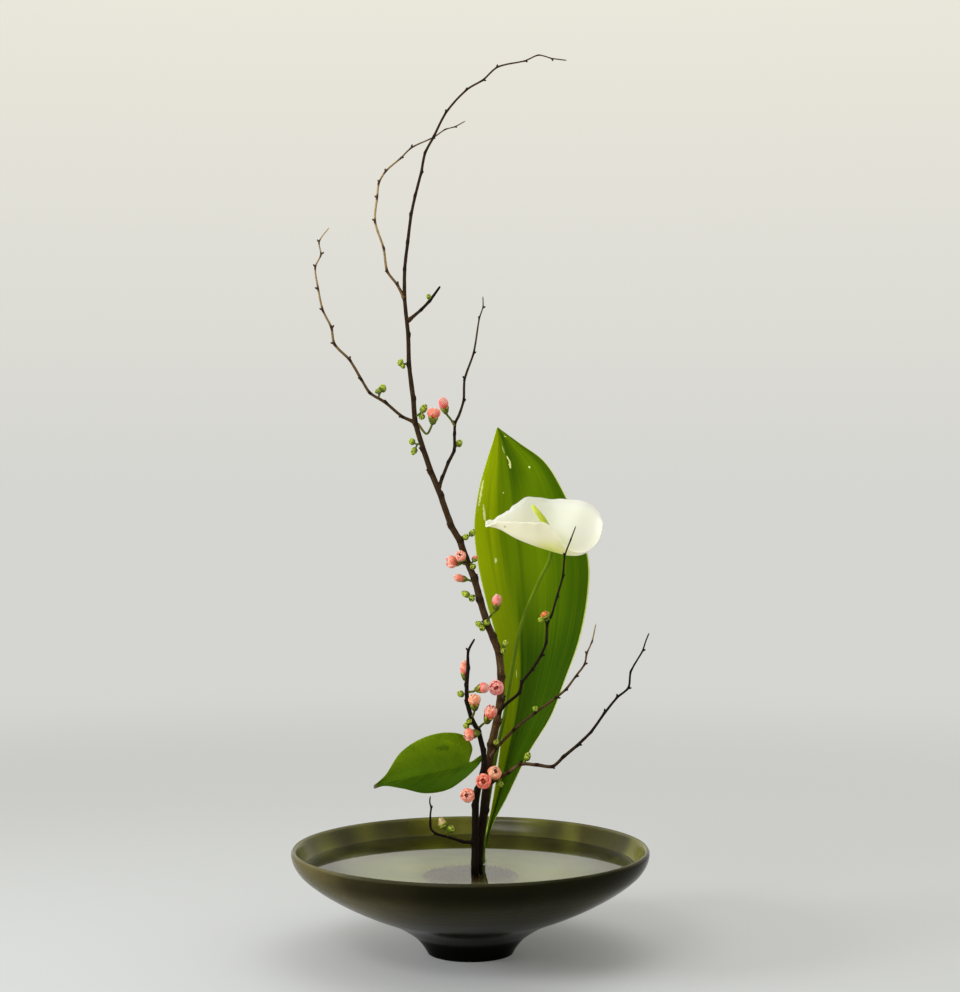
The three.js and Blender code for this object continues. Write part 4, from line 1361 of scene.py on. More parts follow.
    @staticmethod
    def solid(route: Route, radius: Radius, sides: int, steps: int,
              tones: Sequence[float], nodes: Profile, knot: float = 0.8) -> Piece:
        """Makes one bar, with its bark and tone layers.

        Args:
            route: The bar's line.
            radius: Its radius from the share of its length and the turn.
            sides: Faces around.
            steps: Rings along.
            tones: Its tone at even shares.
            nodes: Its nodes' places and sides.
            knot: How much darker it is at a node.

        Returns:
            The bar as an object of its own, in metres.
        """
        bm = bmesh.new()
        faces = rod(bm, route, radius, sides, steps, skin="bark")
        tone = bm.loops.layers.float.new("tone")
        bark = bm.loops.layers.float_vector["bark"]
        for face in faces:
            for corner in face.loops:
                at = corner[bark].z
                dark = max((hump(at, place, 2.0) for place, _ in nodes), default=0.0)
                corner[tone] = read_profile(tones, at / route.length) * (1 - knot * dark)
        return bpy.data.objects.new("bar", to_mesh(bm, "bar"))

    @staticmethod
    def unite(solids: Sequence[Piece]) -> bpy.types.Mesh:
        """Joins overlapping solids into one closed mesh and removes them."""
        tools = bpy.data.collections.new("limbs")
        for solid in solids[1:]:
            tools.objects.link(solid)
        whole = solids[0]
        bpy.context.scene.collection.objects.link(whole)
        bpy.context.scene.collection.children.link(tools)
        union = whole.modifiers.new("union", "BOOLEAN")
        union.operation, union.solver = "UNION", "MANIFOLD"
        union.operand_type, union.collection = "COLLECTION", tools
        view = bpy.context.evaluated_depsgraph_get()
        mesh = bpy.data.meshes.new_from_object(whole.evaluated_get(view))
        mesh.materials.clear()
        for solid in solids:
            bpy.data.objects.remove(solid)
        bpy.data.collections.remove(tools)
        return mesh


# ---------------------------------------------------------------- quince blossoms


class Form(Enum):
    """How far a blossom has opened: its petals' section, and its rings from outside in.

    A ring is how many petals it has, half of each one's angle, its size and its rim.
    """

    OPEN = (((0.4, 0.1), (0.9, 0.42), (1.0, 0.74)),
            ((5, 0.8, 1.0, 0.8), (4, 1.0, 0.84, 0.26)))
    CUP = (((0.42, 0.06), (0.98, 0.46), (0.94, 0.76)),
           ((5, 0.78, 1.0, 0.64), (4, 1.1, 0.84, 0.18)))
    BUD = (((0.46, 0.06), (0.96, 0.4), (0.88, 0.74)),
           ((3, 1.15, 1.0, 0.46), (3, 1.15, 0.78, 0.2)))


class PetalTint(Enum):
    """The petals' colours: of their face, back, throat and tip."""

    SALMON = ((241, 116, 93), (243, 130, 107), (232, 84, 62), (250, 184, 164))
    CORAL = ((241, 130, 96), (243, 142, 108), (236, 114, 68), (250, 192, 160))
    ROSE = ((241, 112, 102), (243, 130, 118), (234, 86, 72), (250, 184, 174))
    DEEP = ((239, 94, 74), (241, 106, 84), (226, 62, 46), (248, 152, 130))


@dataclass(frozen=True)
class BlossomSpec:
    """A blossom's place, size and state, and where its stalk leaves the wood."""

    centre: Point
    axis: Point
    width: float
    length: float
    form: Form
    root: Point
    bend: Point | None = None
    tint: PetalTint = PetalTint.SALMON

    def turn(self) -> Matrix:
        """The matrix from an upright blossom at the origin to its place."""
        turn = Vector((0, 0, 1)).rotation_difference(Vector(self.axis))
        return Matrix.Translation(self.centre) @ turn.to_matrix().to_4x4()


BLOSSOMS = (
    BlossomSpec((-30.5, -12, 451), (0.15, 0, 1), 11, 10, Form.CUP, (-44, -5, 443),
                (-36.5, -8, 434.5)),
    BlossomSpec((-23, 12, 460.5), (-0.3, -0.1, 1), 8.6, 11.5, Form.BUD, (-13.5, 14, 442),
                (-16.5, 14, 447), PetalTint.ROSE),
    BlossomSpec((-15, -8, 327.5), (-1, -0.3, 0), 11, 10, Form.CUP, (-1, -9, 325),
                (-6, -9, 326)),
    BlossomSpec((-8, -19, 332.5), (-0.2, -1, 0.5), 9.4, 8, Form.CUP, (-2, -9, 328),
                (-4.5, -12, 329)),
    BlossomSpec((-9.5, -12, 314), (-1, -0.4, 0.2), 7, 10, Form.BUD, (2.5, -8, 311)),
    BlossomSpec((22, -10, 295.5), (0.1, -0.1, 1), 8.6, 11, Form.BUD, (13.5, -5, 277),
                (18, -8, 284), PetalTint.ROSE),
    BlossomSpec((-4.5, -11, 239), (0, 0.1, 1), 8.4, 14, Form.BUD, (-2.5, -19, 224),
                (-4, -14, 229)),
    BlossomSpec((11, -24.5, 224), (1, -0.2, 0.3), 9.4, 8.5, Form.BUD, (-2, -20, 220),
                (3, -23, 221), PetalTint.ROSE),
    BlossomSpec((21.5, -14, 223), (0, -1, 0.1), 13.2, 8.5, Form.OPEN, (25, -1, 222),
                (22.5, -5.5, 222), PetalTint.ROSE),
    BlossomSpec((3.5, -28, 214), (0, -0.2, 1), 10.6, 10, Form.CUP, (1, -19, 198),
                (3, -24, 203), PetalTint.CORAL),
    BlossomSpec((16.5, -25.5, 203.5), (0.4, -0.3, 1), 10.8, 12, Form.CUP, (6, -18, 189),
                (11, -21, 194)),
    BlossomSpec((-0.5, -26, 185.5), (-0.9, -0.4, -0.1), 10.6, 9.5, Form.CUP,
                (7, -18, 186), (8.5, -21, 186)),
    BlossomSpec((20, -18.5, 152.5), (0.3, -0.8, 0.6), 12.2, 9, Form.CUP, (15, 1, 144),
                (17, -9.5, 147.5), PetalTint.CORAL),
    BlossomSpec((11, -28.5, 147.5), (-0.1, -1, 0.05), 13.2, 8.5, Form.OPEN,
                (8.5, -13, 146), (10, -18.5, 147), PetalTint.DEEP),
    BlossomSpec((-2, -26, 135.5), (-0.3, -1, 0), 12.2, 8.5, Form.OPEN, (5.5, -12, 136),
                (2, -17, 137)),
)


@dataclass
class Blossom:
    """A quince blossom: rings of petals and, where it is open, its stamens."""

    spec: BlossomSpec
    number: int
    thickness: float = 0.34
    stamen_count: int = 12

    def build(self, finishes: Sequence[Material]) -> Piece:
        """Builds the petals.

        Args:
            finishes: The petals' material and the stamens' two.

        Returns:
            The blossom.
        """
        bm = bmesh.new()
        draw = random.Random(self.number * 7 + 3)
        cup, rings = self.spec.form.value
        for index, ring in enumerate(rings):
            self.whorl(bm, cup, ring, index * 0.63, draw)
        if self.spec.form is Form.OPEN:
            self.stamens(bm, draw)
        self.heart(bm)
        bmesh.ops.transform(bm, matrix=self.spec.turn(), verts=bm.verts)
        name = f"blossom_{self.number:02d}_petals"
        return finish_piece(bm, name, finishes, f"blossom_{self.number:02d}")

    def whorl(self, bm: BMesh, cup: Profile, ring: tuple[int, float, float, float],
              turn: float, draw: random.Random) -> None:
        """One ring of overlapping petals.

        Args:
            bm: The mesh.
            cup: Radius and height of the petals' section under their rim, as shares.
            ring: The petals' number, half angle in radians, size and rim radius.
            turn: The first petal's angle.
            draw: The blossom's random numbers.
        """
        radius = self.spec.width / 2 - self.thickness / 2
        length = self.spec.length
        count, spread, size, rim = ring
        for i in range(count):
            tip = (rim * draw.uniform(0.8, 1.06) / size**0.5, 1.0)
            line = section([(r * radius * size, (h - 0.5) * length)
                            for r, h in (*cup, tip)])
            middle = turn + i / count * TURN + draw.uniform(-0.08, 0.08)
            lean, phase = draw.uniform(0.94, 1.0), draw.uniform(0, TURN)
            tall = draw.uniform(0.9, 1.0)

            def surface(across: float, along: float) -> Vector:
                """The petal, cupped, ruffled and cut away at its corners."""
                side = across * 2 - 1
                place = line.at(along * tall)
                width = spread * (0.6 + 0.4 * math.sin(math.pi * min(along * 0.8, 0.5)))
                angle = middle + side * width
                ruffle = 0.04 * along**2 * math.sin(side * 3.4 + phase)
                reach = place.x * lean * (1 + side * 0.05 + ruffle)
                drop = length * 0.3 * along**2 * abs(side) ** 2.6
                return Vector((math.cos(angle) * reach, math.sin(angle) * reach,
                               place.z - drop))

            blade(bm, surface, 12, 12, self.plate)

    def plate(self, across: float, along: float) -> float:
        """A petal's thickness, thin at its rim."""
        margin = min(across, 1 - across, 1 - along)
        return self.thickness * (0.4 + 0.6 * ease(0.0, 0.12, margin))

    def stamens(self, bm: BMesh, draw: random.Random) -> None:
        """A ring of filaments with their anthers."""
        width, length = self.spec.width, self.spec.length
        for i in range(self.stamen_count):
            angle = i * GOLDEN_ANGLE + draw.uniform(-0.2, 0.2)
            out = Vector((math.cos(angle), math.sin(angle), 0))
            reach = width * (0.04 + 0.06 * math.sqrt((i + 0.5) / self.stamen_count))
            foot = out * reach * 0.6 + Vector((0, 0, -0.32 * length))
            top = out * reach * 1.35 + Vector((0, 0, length * draw.uniform(0.2, 0.33)))
            line = Route([tuple(foot), tuple(foot.lerp(top, 0.5) + out * 0.15), tuple(top)])
            paint(rod(bm, line, lambda share, _: 0.13 - 0.04 * share, 5, 4), 1)
            faces = len(bm.faces)
            bmesh.ops.create_icosphere(
                bm, subdivisions=1, radius=0.3,
                matrix=Matrix.Translation(top) @ Matrix.Diagonal((1, 1, 1.5, 1)))
            paint(fresh_since(bm, 0, faces)[1], 2)

    def heart(self, bm: BMesh) -> None:
        """The closed base in which the petals meet, which fills an open blossom's throat."""
        width, length = self.spec.width, self.spec.length
        top = {Form.OPEN: 0.22, Form.CUP: 0.1, Form.BUD: -0.23}[self.spec.form]
        half = (top + 0.49) / 2
        faces = len(bm.faces)
        bmesh.ops.create_uvsphere(
            bm, u_segments=20, v_segments=10, radius=1.0,
            matrix=Matrix.Translation((0, 0, (top - half) * length))
            @ Matrix.Diagonal((width * 0.21, width * 0.21, half * length, 1)))
        paint(fresh_since(bm, 0, faces)[1], 1)


@dataclass
class Calyx:
    """The green cup and stalk under a blossom, with five sepals against the petals."""

    spec: BlossomSpec
    number: int
    mouth: float = 0.3
    depth: float = 2.5
    gap: float = 0.3
    stalk: float = 0.22  # the woody share of its length

    def build(self, finishes: Sequence[Material]) -> Piece:
        """Builds the stalk, the cup and the sepals.

        Args:
            finishes: The cup's material and the stalk's.

        Returns:
            The calyx.
        """
        spec = self.spec
        turn = spec.turn()
        end = -spec.length / 2 - self.gap
        points = [spec.root, *([spec.bend] if spec.bend else []),
                  tuple(turn @ Vector((0, 0, end - self.depth))),
                  tuple(turn @ Vector((0, 0, end)))]
        mouth = spec.width * self.mouth
        bm = bmesh.new()
        route = Route(points)

        def radius(share: float, turn: float) -> float:
            """The stalk's radius, and near its end the ribbed cup's."""
            left = (1 - share) * route.length / (mouth * 1.25)
            cup = mouth * math.sqrt(max(1 - left**2, 0.0))
            rib = 0.05 * math.cos(turn * 5 - 1.5)
            return max(blend(1.1, 0.95, ease(0.0, 0.4, share)), cup * (1 + rib))

        faces = rod(bm, route, radius, 20, max(int(route.length / 0.4), 20), skin="bark")
        bark = bm.loops.layers.float_vector["bark"]
        paint([f for f in faces if f.loops[0][bark].z < route.length * self.stalk], 1)
        for i in range(5):
            self.sepal(bm, i / 5 * TURN + 0.3, mouth, turn)
        name = f"calyx_{self.number:02d}_green"
        return finish_piece(bm, name, finishes, f"calyx_{self.number:02d}")

    def sepal(self, bm: BMesh, middle: float, mouth: float,
              turn: Matrix) -> None:
        """Adds one small pointed leaf that lies against the petals' foot.

        Args:
            bm: The mesh.
            middle: Its angle about the blossom's axis.
            mouth: The cup's radius at its top.
            turn: The matrix to the blossom's place.
        """
        spec = self.spec
        foot = spec.form.value[0][0][0] * spec.width / 2
        low = -spec.length / 2 - self.gap - 0.6
        high = -spec.length / 2 + spec.length * 0.24

        def surface(across: float, along: float) -> Vector:
            """The sepal, which narrows to a point."""
            side = across * 2 - 1
            width = 0.62 * math.sqrt(max(1 - along, 0.0) * (1 + 1.6 * along)) + 0.03
            reach = blend(mouth * 0.96, max(foot * 1.5, mouth) + 0.9, along**0.8)
            angle = middle + side * width * blend(1.0, 0.6, along)
            return turn @ Vector((math.cos(angle) * reach, math.sin(angle) * reach,
                                  blend(low, high, along)))

        blade(bm, surface, 6, 6, lambda across, along: 0.4 - 0.2 * along)


# ---------------------------------------------------------------- leaf buds


class BudTint(Enum):
    """The colours that the buds' tops come in, as the number of a piece's material."""

    GREEN = 0
    ORANGE = 1
    CREAM = 2
    PINK = 3


@dataclass(frozen=True)
class BudCluster:
    """Buds from one place on the wood; each is its tip and its greatest radius."""

    root: Point
    tips: tuple[tuple[float, float, float, float], ...]
    reach: float = 0.0
    first: BudTint = BudTint.GREEN


BUD_CLUSTERS = (
    BudCluster((-46, -5, 449), ((-37, -10, 459, 2.2), (-38.5, -10, 448.5, 2)), 3.6),
    BudCluster((-41, -6, 427), ((-51, -6, 430, 2), (-49, -8, 417, 1.8)), 3.8),
    BudCluster((-13.5, 11, 423), ((-8, 13, 430, 2.2),)),
    BudCluster((-9.5, -9, 343), ((-2.5, -12, 350.5, 1.9), (4, -10, 354.5, 1.8)), 4),
    BudCluster((-2.5, -9, 325), ((5, -12, 333, 1.7), (3.5, -14.5, 322.5, 1.9)), 4.2,
               BudTint.PINK),
    BudCluster((7, -8, 299), ((-7.5, -10, 302.5, 2), (-0.5, -13, 296.5, 2.2)), 4.3),
    BudCluster((14.5, -5, 274), ((4, -10, 277, 1.8), (8.5, -13, 271.5, 2),
                                 (14.5, -13, 279, 1.8)), 4.3),
    BudCluster((22.5, -3, 252), ((30.5, -7, 262, 1.7), (29, -9, 253, 1.6)), 4.3),
    BudCluster((-3, -20, 218.5), ((-11, -21, 219.5, 2.1),)),
    BudCluster((3, -19, 193), ((-6, -22, 192, 1.9), (-2, -23.5, 197.5, 1.7)), 3.3),
    BudCluster((21, -8.5, 145), ((27.5, -11.5, 141.5, 2),)),
    BudCluster((24, -7, 174), ((20.5, -10, 179, 1.9),)),
    BudCluster((54, -20, 203), ((53.5, -23, 208.5, 1.5),)),
    BudCluster((43.5, -27, 161), ((48.5, -31, 171.5, 2),)),
    BudCluster((-76, -21, 464), ((-71.5, -20, 475, 2.5), (-77, -23, 471, 1.8)), 2.4),
    BudCluster((-51.5, 0, 493), ((-61, -1, 496, 2.4), (-58.5, -2, 491.5, 2)), 3.2),
    BudCluster((-34.5, 17, 548), ((-36, 16, 554, 1.2),)),
    BudCluster((-18.5, -18.5, 99.5), ((-25, -21, 116, 2.6), (-15, -21, 109.5, 2.3)), 2.6,
               BudTint.CREAM),
    BudCluster((65, -48, 282), ((59.5, -51, 288.5, 3), (55, -50, 282, 1.4)), 2.4,
               BudTint.ORANGE),
)


@dataclass
class LeafBuds:
    """A cluster of leaf buds, each of wrapped scales on a short stalk."""

    spec: BudCluster
    number: int
    sag: float = 0.08
    swell: float = 1.1

    def build(self, finishes: Sequence[Material]) -> Piece:
        """Builds the peg and the buds.

        Args:
            finishes: The green, the orange, the cream and the pink material.

        Returns:
            The cluster.
        """
        bm = bmesh.new()
        root = Vector(self.spec.root)
        if len(self.spec.tips) > 1:
            middle = sum((Vector(t[:3]) for t in self.spec.tips), Vector())
            middle /= len(self.spec.tips)
            parting = root.lerp(middle, self.spec.reach / (middle - root).length)
            line = Route([tuple(root), tuple(parting.lerp(middle, 0.1))])
            rod(bm, line, lambda share, _: 1.05 - 0.15 * math.sin(share * math.pi), 12, 5)
            root = parting
        for index, tip in enumerate(self.spec.tips):
            tint = self.spec.first if index == 0 else BudTint.GREEN
            self.bud(bm, root, tip, tint, index)
        name = f"leaf_buds_{self.number:02d}_scales"
        return finish_piece(bm, name, finishes, f"leaf_buds_{self.number:02d}")

    def bud(self, bm: BMesh, root: Vector,
            tip: tuple[float, float, float, float], tint: BudTint, index: int) -> None:
        """Adds one bud: its stalk and core, and the scales wrapped round it.

        Args:
            bm: The mesh.
            root: Where the stalk starts.
            tip: The bud's tip and its greatest radius.
            tint: The colour of its top.
            index: Its number in the cluster, which turns the scales.
        """
        end, size = Vector(tip[:3]), tip[3] * self.swell
        way = end - root
        middle = root + way * 0.5 - Vector((0, 0, way.length * self.sag))
        route = Route([tuple(root), tuple(middle), tuple(end)])
        start = max(1 - 3.4 * size / route.length, 0.3)
        coloured = tint is not BudTint.GREEN

        def core(share: float) -> float:
            """The radius of the stalk, then of the bud."""
            if share < start:
                return blend(0.85, 0.7, share / start)
            part = (share - start) / (1 - start)
            return 0.7 * (1 - part) ** 3 \
                + size * 0.98 * math.sin(math.pi * part**0.8) ** 0.75 * (1 - 0.1 * part) \
                + 0.12

        faces = rod(bm, route, lambda share, _: core(share), 12, 20)
        paint([f for f in faces
               if coloured and (f.calc_center_median() - end).length < size * 2.4],
              tint.value)
        rings = route.rings(40)
        for i in range(7):
            begin = start + (1 - start) * (0.02 + 0.08 * i)
            sepal = coloured and i < 4
            length = (1 - start) * (0.34 if sepal else 0.62)
            plates = self.scale(bm, rings, core, begin, min(begin + length, 1.0),
                                i * GOLDEN_ANGLE + index, i)
            paint(plates, 0 if sepal else tint.value)

    @staticmethod
    def scale(bm: BMesh, rings: Sequence[Ring], core: Callable[[float], float],
              begin: float, end: float, middle: float, index: int) -> list[BMFace]:
        """Adds a scale that follows the bud's core and stands off a little at its point.

        Args:
            bm: The mesh.
            rings: The bud's evenly spaced rings.
            core: Reads the core's radius from the share of the length.
            begin: The share where the scale starts.
            end: The share of its point.
            middle: Its angle about the bud.
            index: Its number, which sets how far it stands off.

        Returns:
            Its faces.
        """
        def surface(across: float, along: float) -> Vector:
            """The scale, wrapped round the core."""
            side = across * 2 - 1
            share = blend(begin, end, along)
            place = share * (len(rings) - 1)
            low = min(int(place), len(rings) - 2)
            point = rings[low].point.lerp(rings[low + 1].point, place - low)
            width = 1.15 * math.sqrt(max(1 - along**2.2, 0.0)) + 0.05
            lift = 0.16 + 0.05 * (3 - index % 3) + 0.75 * along**3
            reach = core(share) + lift
            return point + rings[low].out(middle + side * width) * reach

        return blade(bm, surface, 8, 7, lambda across, along: 0.3 - 0.12 * along)


# ---------------------------------------------------------------- leaves


@dataclass(frozen=True)
class LeafShape:
    """A leaf through its one edge, its midrib and its other edge."""

    edge: tuple[Point, ...]
    midrib: tuple[Point, ...]
    other_edge: tuple[Point, ...]
    wave: float
    waves: float
    arch: float = 0.48


STRAP_LEAF = LeafShape(
    edge=((10, 14, 82), (15, 16, 105), (19, 19, 125), (24.5, 24, 163), (28, 29, 195),
          (28, 32, 225), (22.5, 35, 258), (12.5, 36, 295), (5.5, 36, 328), (3, 36, 357),
          (7, 35, 388), (13.5, 35, 412), (19, 35, 429), (22.4, 35, 440.6)),
    midrib=((10.8, 16, 82), (17, 19, 105), (23, 23, 125), (33, 30, 163), (41, 36, 195),
            (46, 41, 225), (47, 45, 258), (45.5, 48, 295), (43, 49, 328), (39.5, 48, 357),
            (36, 45, 388), (32, 41, 412), (28, 38, 429), (23.2, 35.6, 441.4)),
    other_edge=((12, 14.5, 82), (19.5, 16, 105), (30, 18, 125), (49, 22, 163),
                (69, 26, 195), (81, 30, 225), (93, 33, 258), (100.5, 35, 295),
                (101.5, 37, 328), (92.5, 39, 357), (79, 39, 388), (63.5, 38, 412),
                (42, 37, 428), (24.2, 36, 440.6)),
    wave=1.5, waves=3)

ROUND_LEAF = LeafShape(
    edge=((9, -7.4, 166.2), (-1, -9.2, 160.4), (1.6, -8.4, 172), (-5, -9, 182.5),
          (-21, -11, 185.5), (-40, -14, 181), (-58, -18, 169.5), (-70.5, -23, 151.5),
          (-79.2, -26.4, 143.9)),
    midrib=((9, -7.8, 164.2), (-1, -10, 158.4), (-12, -13, 156.5), (-27, -17, 154),
            (-43, -20, 151), (-58.5, -23, 147.5), (-71, -25, 145.6), (-80, -27, 142.3)),
    other_edge=((10, -8, 162), (6.6, -11, 157.8), (-4, -14, 148), (-19, -18, 138.5),
                (-38, -21, 136), (-56, -23, 140.5), (-71, -25, 143), (-79.2, -26.8, 140.9)),
    wave=1.2, waves=2)

STRAP_STALK = Limb(((12, 15, 32.7), (11.5, 15, 58), (11, 15, 82), (13.5, 16.3, 97),
                    (15.5, 17.3, 105)), (2, 1.9, 1.7, 1.4, 0.8))
ROUND_STALK = Limb(((1.5, -2.5, 32.7), (1.5, -2.5, 60), (2.5, -3.5, 93), (5, -4.5, 118),
                    (8.5, -6, 145), (9.5, -7, 157), (9, -7.8, 163), (2, -9.6, 160.4)),
                   (1.2, 1.1, 1.1, 1, 1, 0.9, 0.3))
FLOWER_STEM = Limb(((8.5, 7.5, 32.7), (9, 7.5, 60), (11.5, 8.5, 100), (16.5, 9.5, 134),
                    (22.5, 9.5, 168), (29.5, 9, 202), (33, 8, 224), (36, 6, 241),
                    (39.5, 4, 261), (45, 1, 282), (52, -3, 299), (59, -7, 315),
                    (65, -10, 327), (68, -11.5, 338.2)),
                   (2, 1.9, 1.7, 1.6, 1.5, 1.5, 1.7))


@dataclass
class Leaf:
    """A leaf: a thin ribbed blade on a round stalk."""

    name: str
    node: str
    shape: LeafShape
    stalk: Limb
    columns: int
    rows: int
    ribs: float
    rib_depth: float
    thickness: float = 0.9
    groove: float = 0.5
    groove_width: float = 1.6
    slanted: bool = False  # whether its ribs run aslant from the midrib
    stalk_pitch: float = 2.2  # between the stalk's rings

    def build(self, finishes: Sequence[Material]) -> Piece:
        """Builds the blade and its stalk.

        Args:
            finishes: The blade's material and the stalk's.

        Returns:
            The leaf.
        """
        bm = bmesh.new()
        blade(bm, self.surface(), self.columns, self.rows, self.plate)
        route = Route(self.stalk.route)
        faces = rod(bm, route, tapering(self.stalk.radii), 14,
                    max(int(route.length / self.stalk_pitch), 8), skin="bark")
        paint(faces, 1)
        return finish_piece(bm, self.name, finishes, self.node)

    def surface(self) -> Surface:
        """The blade's middle surface, with its ribs and the groove of its midrib."""
        shape = self.shape
        lines = [Route(p) for p in (shape.edge, shape.midrib, shape.other_edge)]

        def place(across: float, along: float) -> Vector:
            """A point between the midrib and one edge."""
            edge, rib, other = (line.at(along) for line in lines)
            side = across * 2 - 1
            outer, reach = (edge if side < 0 else other), abs(side)
            half = (outer - rib).length
            point = rib.lerp(outer, reach)
            arch = half * shape.arch * reach * (1 - reach) ** 2
            wave = shape.wave * reach**2 * math.sin(along * shape.waves * TURN + side)
            ease_in = ease(0.0, 0.08, along) * ease(1.0, 0.93, along)
            if self.slanted:
                ripple = math.cos((along - 0.28 * reach) * self.ribs * TURN)
                ripple = max(ripple, 0.0) ** 3 * (1 - reach)
            else:
                ripple = math.cos(reach * self.ribs * TURN) * (1 - reach**4)
            point.y += arch + wave - self.rib_depth * ripple * ease_in
            point.y += self.groove * hump(reach * half, 0.0, self.groove_width) * ease_in
            return point

        return place

    def plate(self, across: float, along: float) -> float:
        """The blade's thickness, thin at its edge and stout at its midrib."""
        side = abs(across * 2 - 1)
        return self.thickness * (1 - 0.55 * ease(0.9, 1.0, side)) * blend(1.0, 0.75, along)


# ---------------------------------------------------------------- anthurium


@dataclass
class Anthurium:
    """A white hooded flower: its stem, its heart-shaped hood and its spadix."""

    thickness: float = 1.1
    columns: int = 56
    rows: int = 84
    wave: float = 1.6
    waves: float = 2.5
    near: tuple[Point, ...] = (
        (13, -21, 356.6), (22, -27, 361), (36.5, -36, 361), (50, -42, 360.6),
        (62, -44, 360), (71, -38, 351.5), (77, -28, 342), (86, -20, 336), (97, -15, 335.2))
    keel: tuple[Point, ...] = (
        (12.6, -20, 358.8), (24, -18, 355.5), (38, -15, 348), (51, -13, 343),
        (64, -12, 338.6), (74, -11, 336.6), (85, -9, 335.6), (97, -8, 337.4),
        (107.4, -8, 345.5))
    far: tuple[Point, ...] = (
        (13, -18.6, 361.4), (22.5, -11, 364.6), (34, -4, 373), (48, 1, 381.5), (65, 5, 380),
        (82, 6, 379.6), (98, 3, 377), (107.5, -1, 369.5), (111.2, -5, 359.5))
    nick: tuple[float, float, float] = (0.235, 0.016, 1.9)  # place, width and depth
    spadix: tuple[Point, ...] = ((68, -12, 337.5), (66, -14.5, 349), (60.7, -18, 362),
                                 (55.7, -20, 369), (51, -21, 375))
    spadix_radii: tuple[float, ...] = (2.2, 2.9, 3, 2.9, 2.6, 2.2, 1.2)
    spadix_rings: int = 200
    floret_size: float = 0.66
    floret_height: float = 0.34

    def build(self) -> list[Piece]:
        """Builds the three pieces."""
        return [self.stem(), self.hood(), self.spike()]

    def stem(self) -> Piece:
        """A smooth round stem, faintly ribbed, that widens under the hood."""
        bm = bmesh.new()
        route = Route(FLOWER_STEM.route)

        def radius(share: float, turn: float) -> float:
            """The stem's radius, with six faint ribs."""
            return read_profile(FLOWER_STEM.radii, share) * (1 + 0.02 * math.cos(turn * 6))

        rod(bm, route, radius, 20, 150, skin="bark")
        finish = StalkFinish("anthurium_stem_green", linear(82, 108, 0),
                             linear(62, 88, 0), linear(108, 134, 4))
        return finish_piece(bm, "anthurium_stem_skin", [finish.make()], "anthurium_stem")

    def hood(self) -> Piece:
        """The hood, a thin waved sheet with a rolled rim."""
        lines = [Route(p) for p in (self.near, self.keel, self.far)]

        @lru_cache(maxsize=None)
        def slice_at(along: float) -> Route:
            """The line over the hood from rim to rim."""
            return Route([tuple(line.at(along)) for line in lines], tension=0.6)

        def surface(across: float, along: float) -> Vector:
            """The hood, with its waves, its rolled rim and its nick."""
            point = slice_at(along).at(across).copy()
            point.y += across**3 * self.wave * math.sin(along * self.waves * TURN)
            ruffle = 0.55 * math.sin(along * 9 * TURN) * (1 - along)
            point.z += ruffle * (abs(across - 0.5) * 2) ** 4 * ease(0.0, 0.15, along)
            point.y += 0.8 * ease(0.965, 1.0, across) * ease(0.0, 0.1, along)
            at, wide, deep = self.nick
            point.z -= deep * hump(along, at, wide) * ease(0.8, 1.0, across)
            point.z += 0.7 * math.sin(along * 60) * hump(along, 0.06, 0.07) * across**3
            return point

        def plate(across: float, along: float) -> float:
            """The hood's thickness, thin at its rim."""
            margin = min(across, 1 - across)
            return self.thickness * (0.45 + 0.55 * ease(0.0, 0.07, margin))

        bm = bmesh.new()
        blade(bm, surface, self.columns, self.rows, plate)
        return finish_piece(bm, "anthurium_hood", [SpatheFinish().make()],
                            "anthurium_spathe")

    def spike(self) -> Piece:
        """The spadix, whose skin is raised into a spiral of small florets."""
        bm = bmesh.new()
        route = Route(self.spadix)
        steps = self.spadix_rings

        def radius(share: float, _: float) -> float:
            """The spadix's radius, blunt at its tip."""
            return read_profile(self.spadix_radii, share) \
                * (1 - 0.5 * ease(0.985, 1, share))

        rings = route.rings(steps)
        rod(bm, route, radius, 72, steps)
        count = int(route.length * TURN * 2.7 / (self.floret_size**2 * 3.4))
        florets = KDTree(count)
        for i in range(count):
            share = i / count
            nearest = round(share * steps)
            ring = rings[nearest]
            at = ring.point + ring.tangent * (share - nearest / steps) * route.length
            reach = read_profile(self.spadix_radii, share)
            florets.insert(at + ring.out(i * GOLDEN_ANGLE) * reach, i)
        florets.balance()
        crown = bm.verts.layers.float.new("crown")
        share_layer = bm.verts.layers.float.new("share")
        bm.normal_update()
        start = rings[0].point
        for vert in bm.verts:
            _, _, away = florets.find(vert.co)
            rise = math.sqrt(max(1 - (away / self.floret_size) ** 2, 0.0))
            vert[crown] = rise
            vert[share_layer] = min((vert.co - start).length / route.length, 1.0)
            vert.co += vert.normal * (rise - 0.6) * self.floret_height
        return finish_piece(bm, "anthurium_spike", [SpadixFinish().make()],
                            "anthurium_spadix")


# ---------------------------------------------------------------- studio


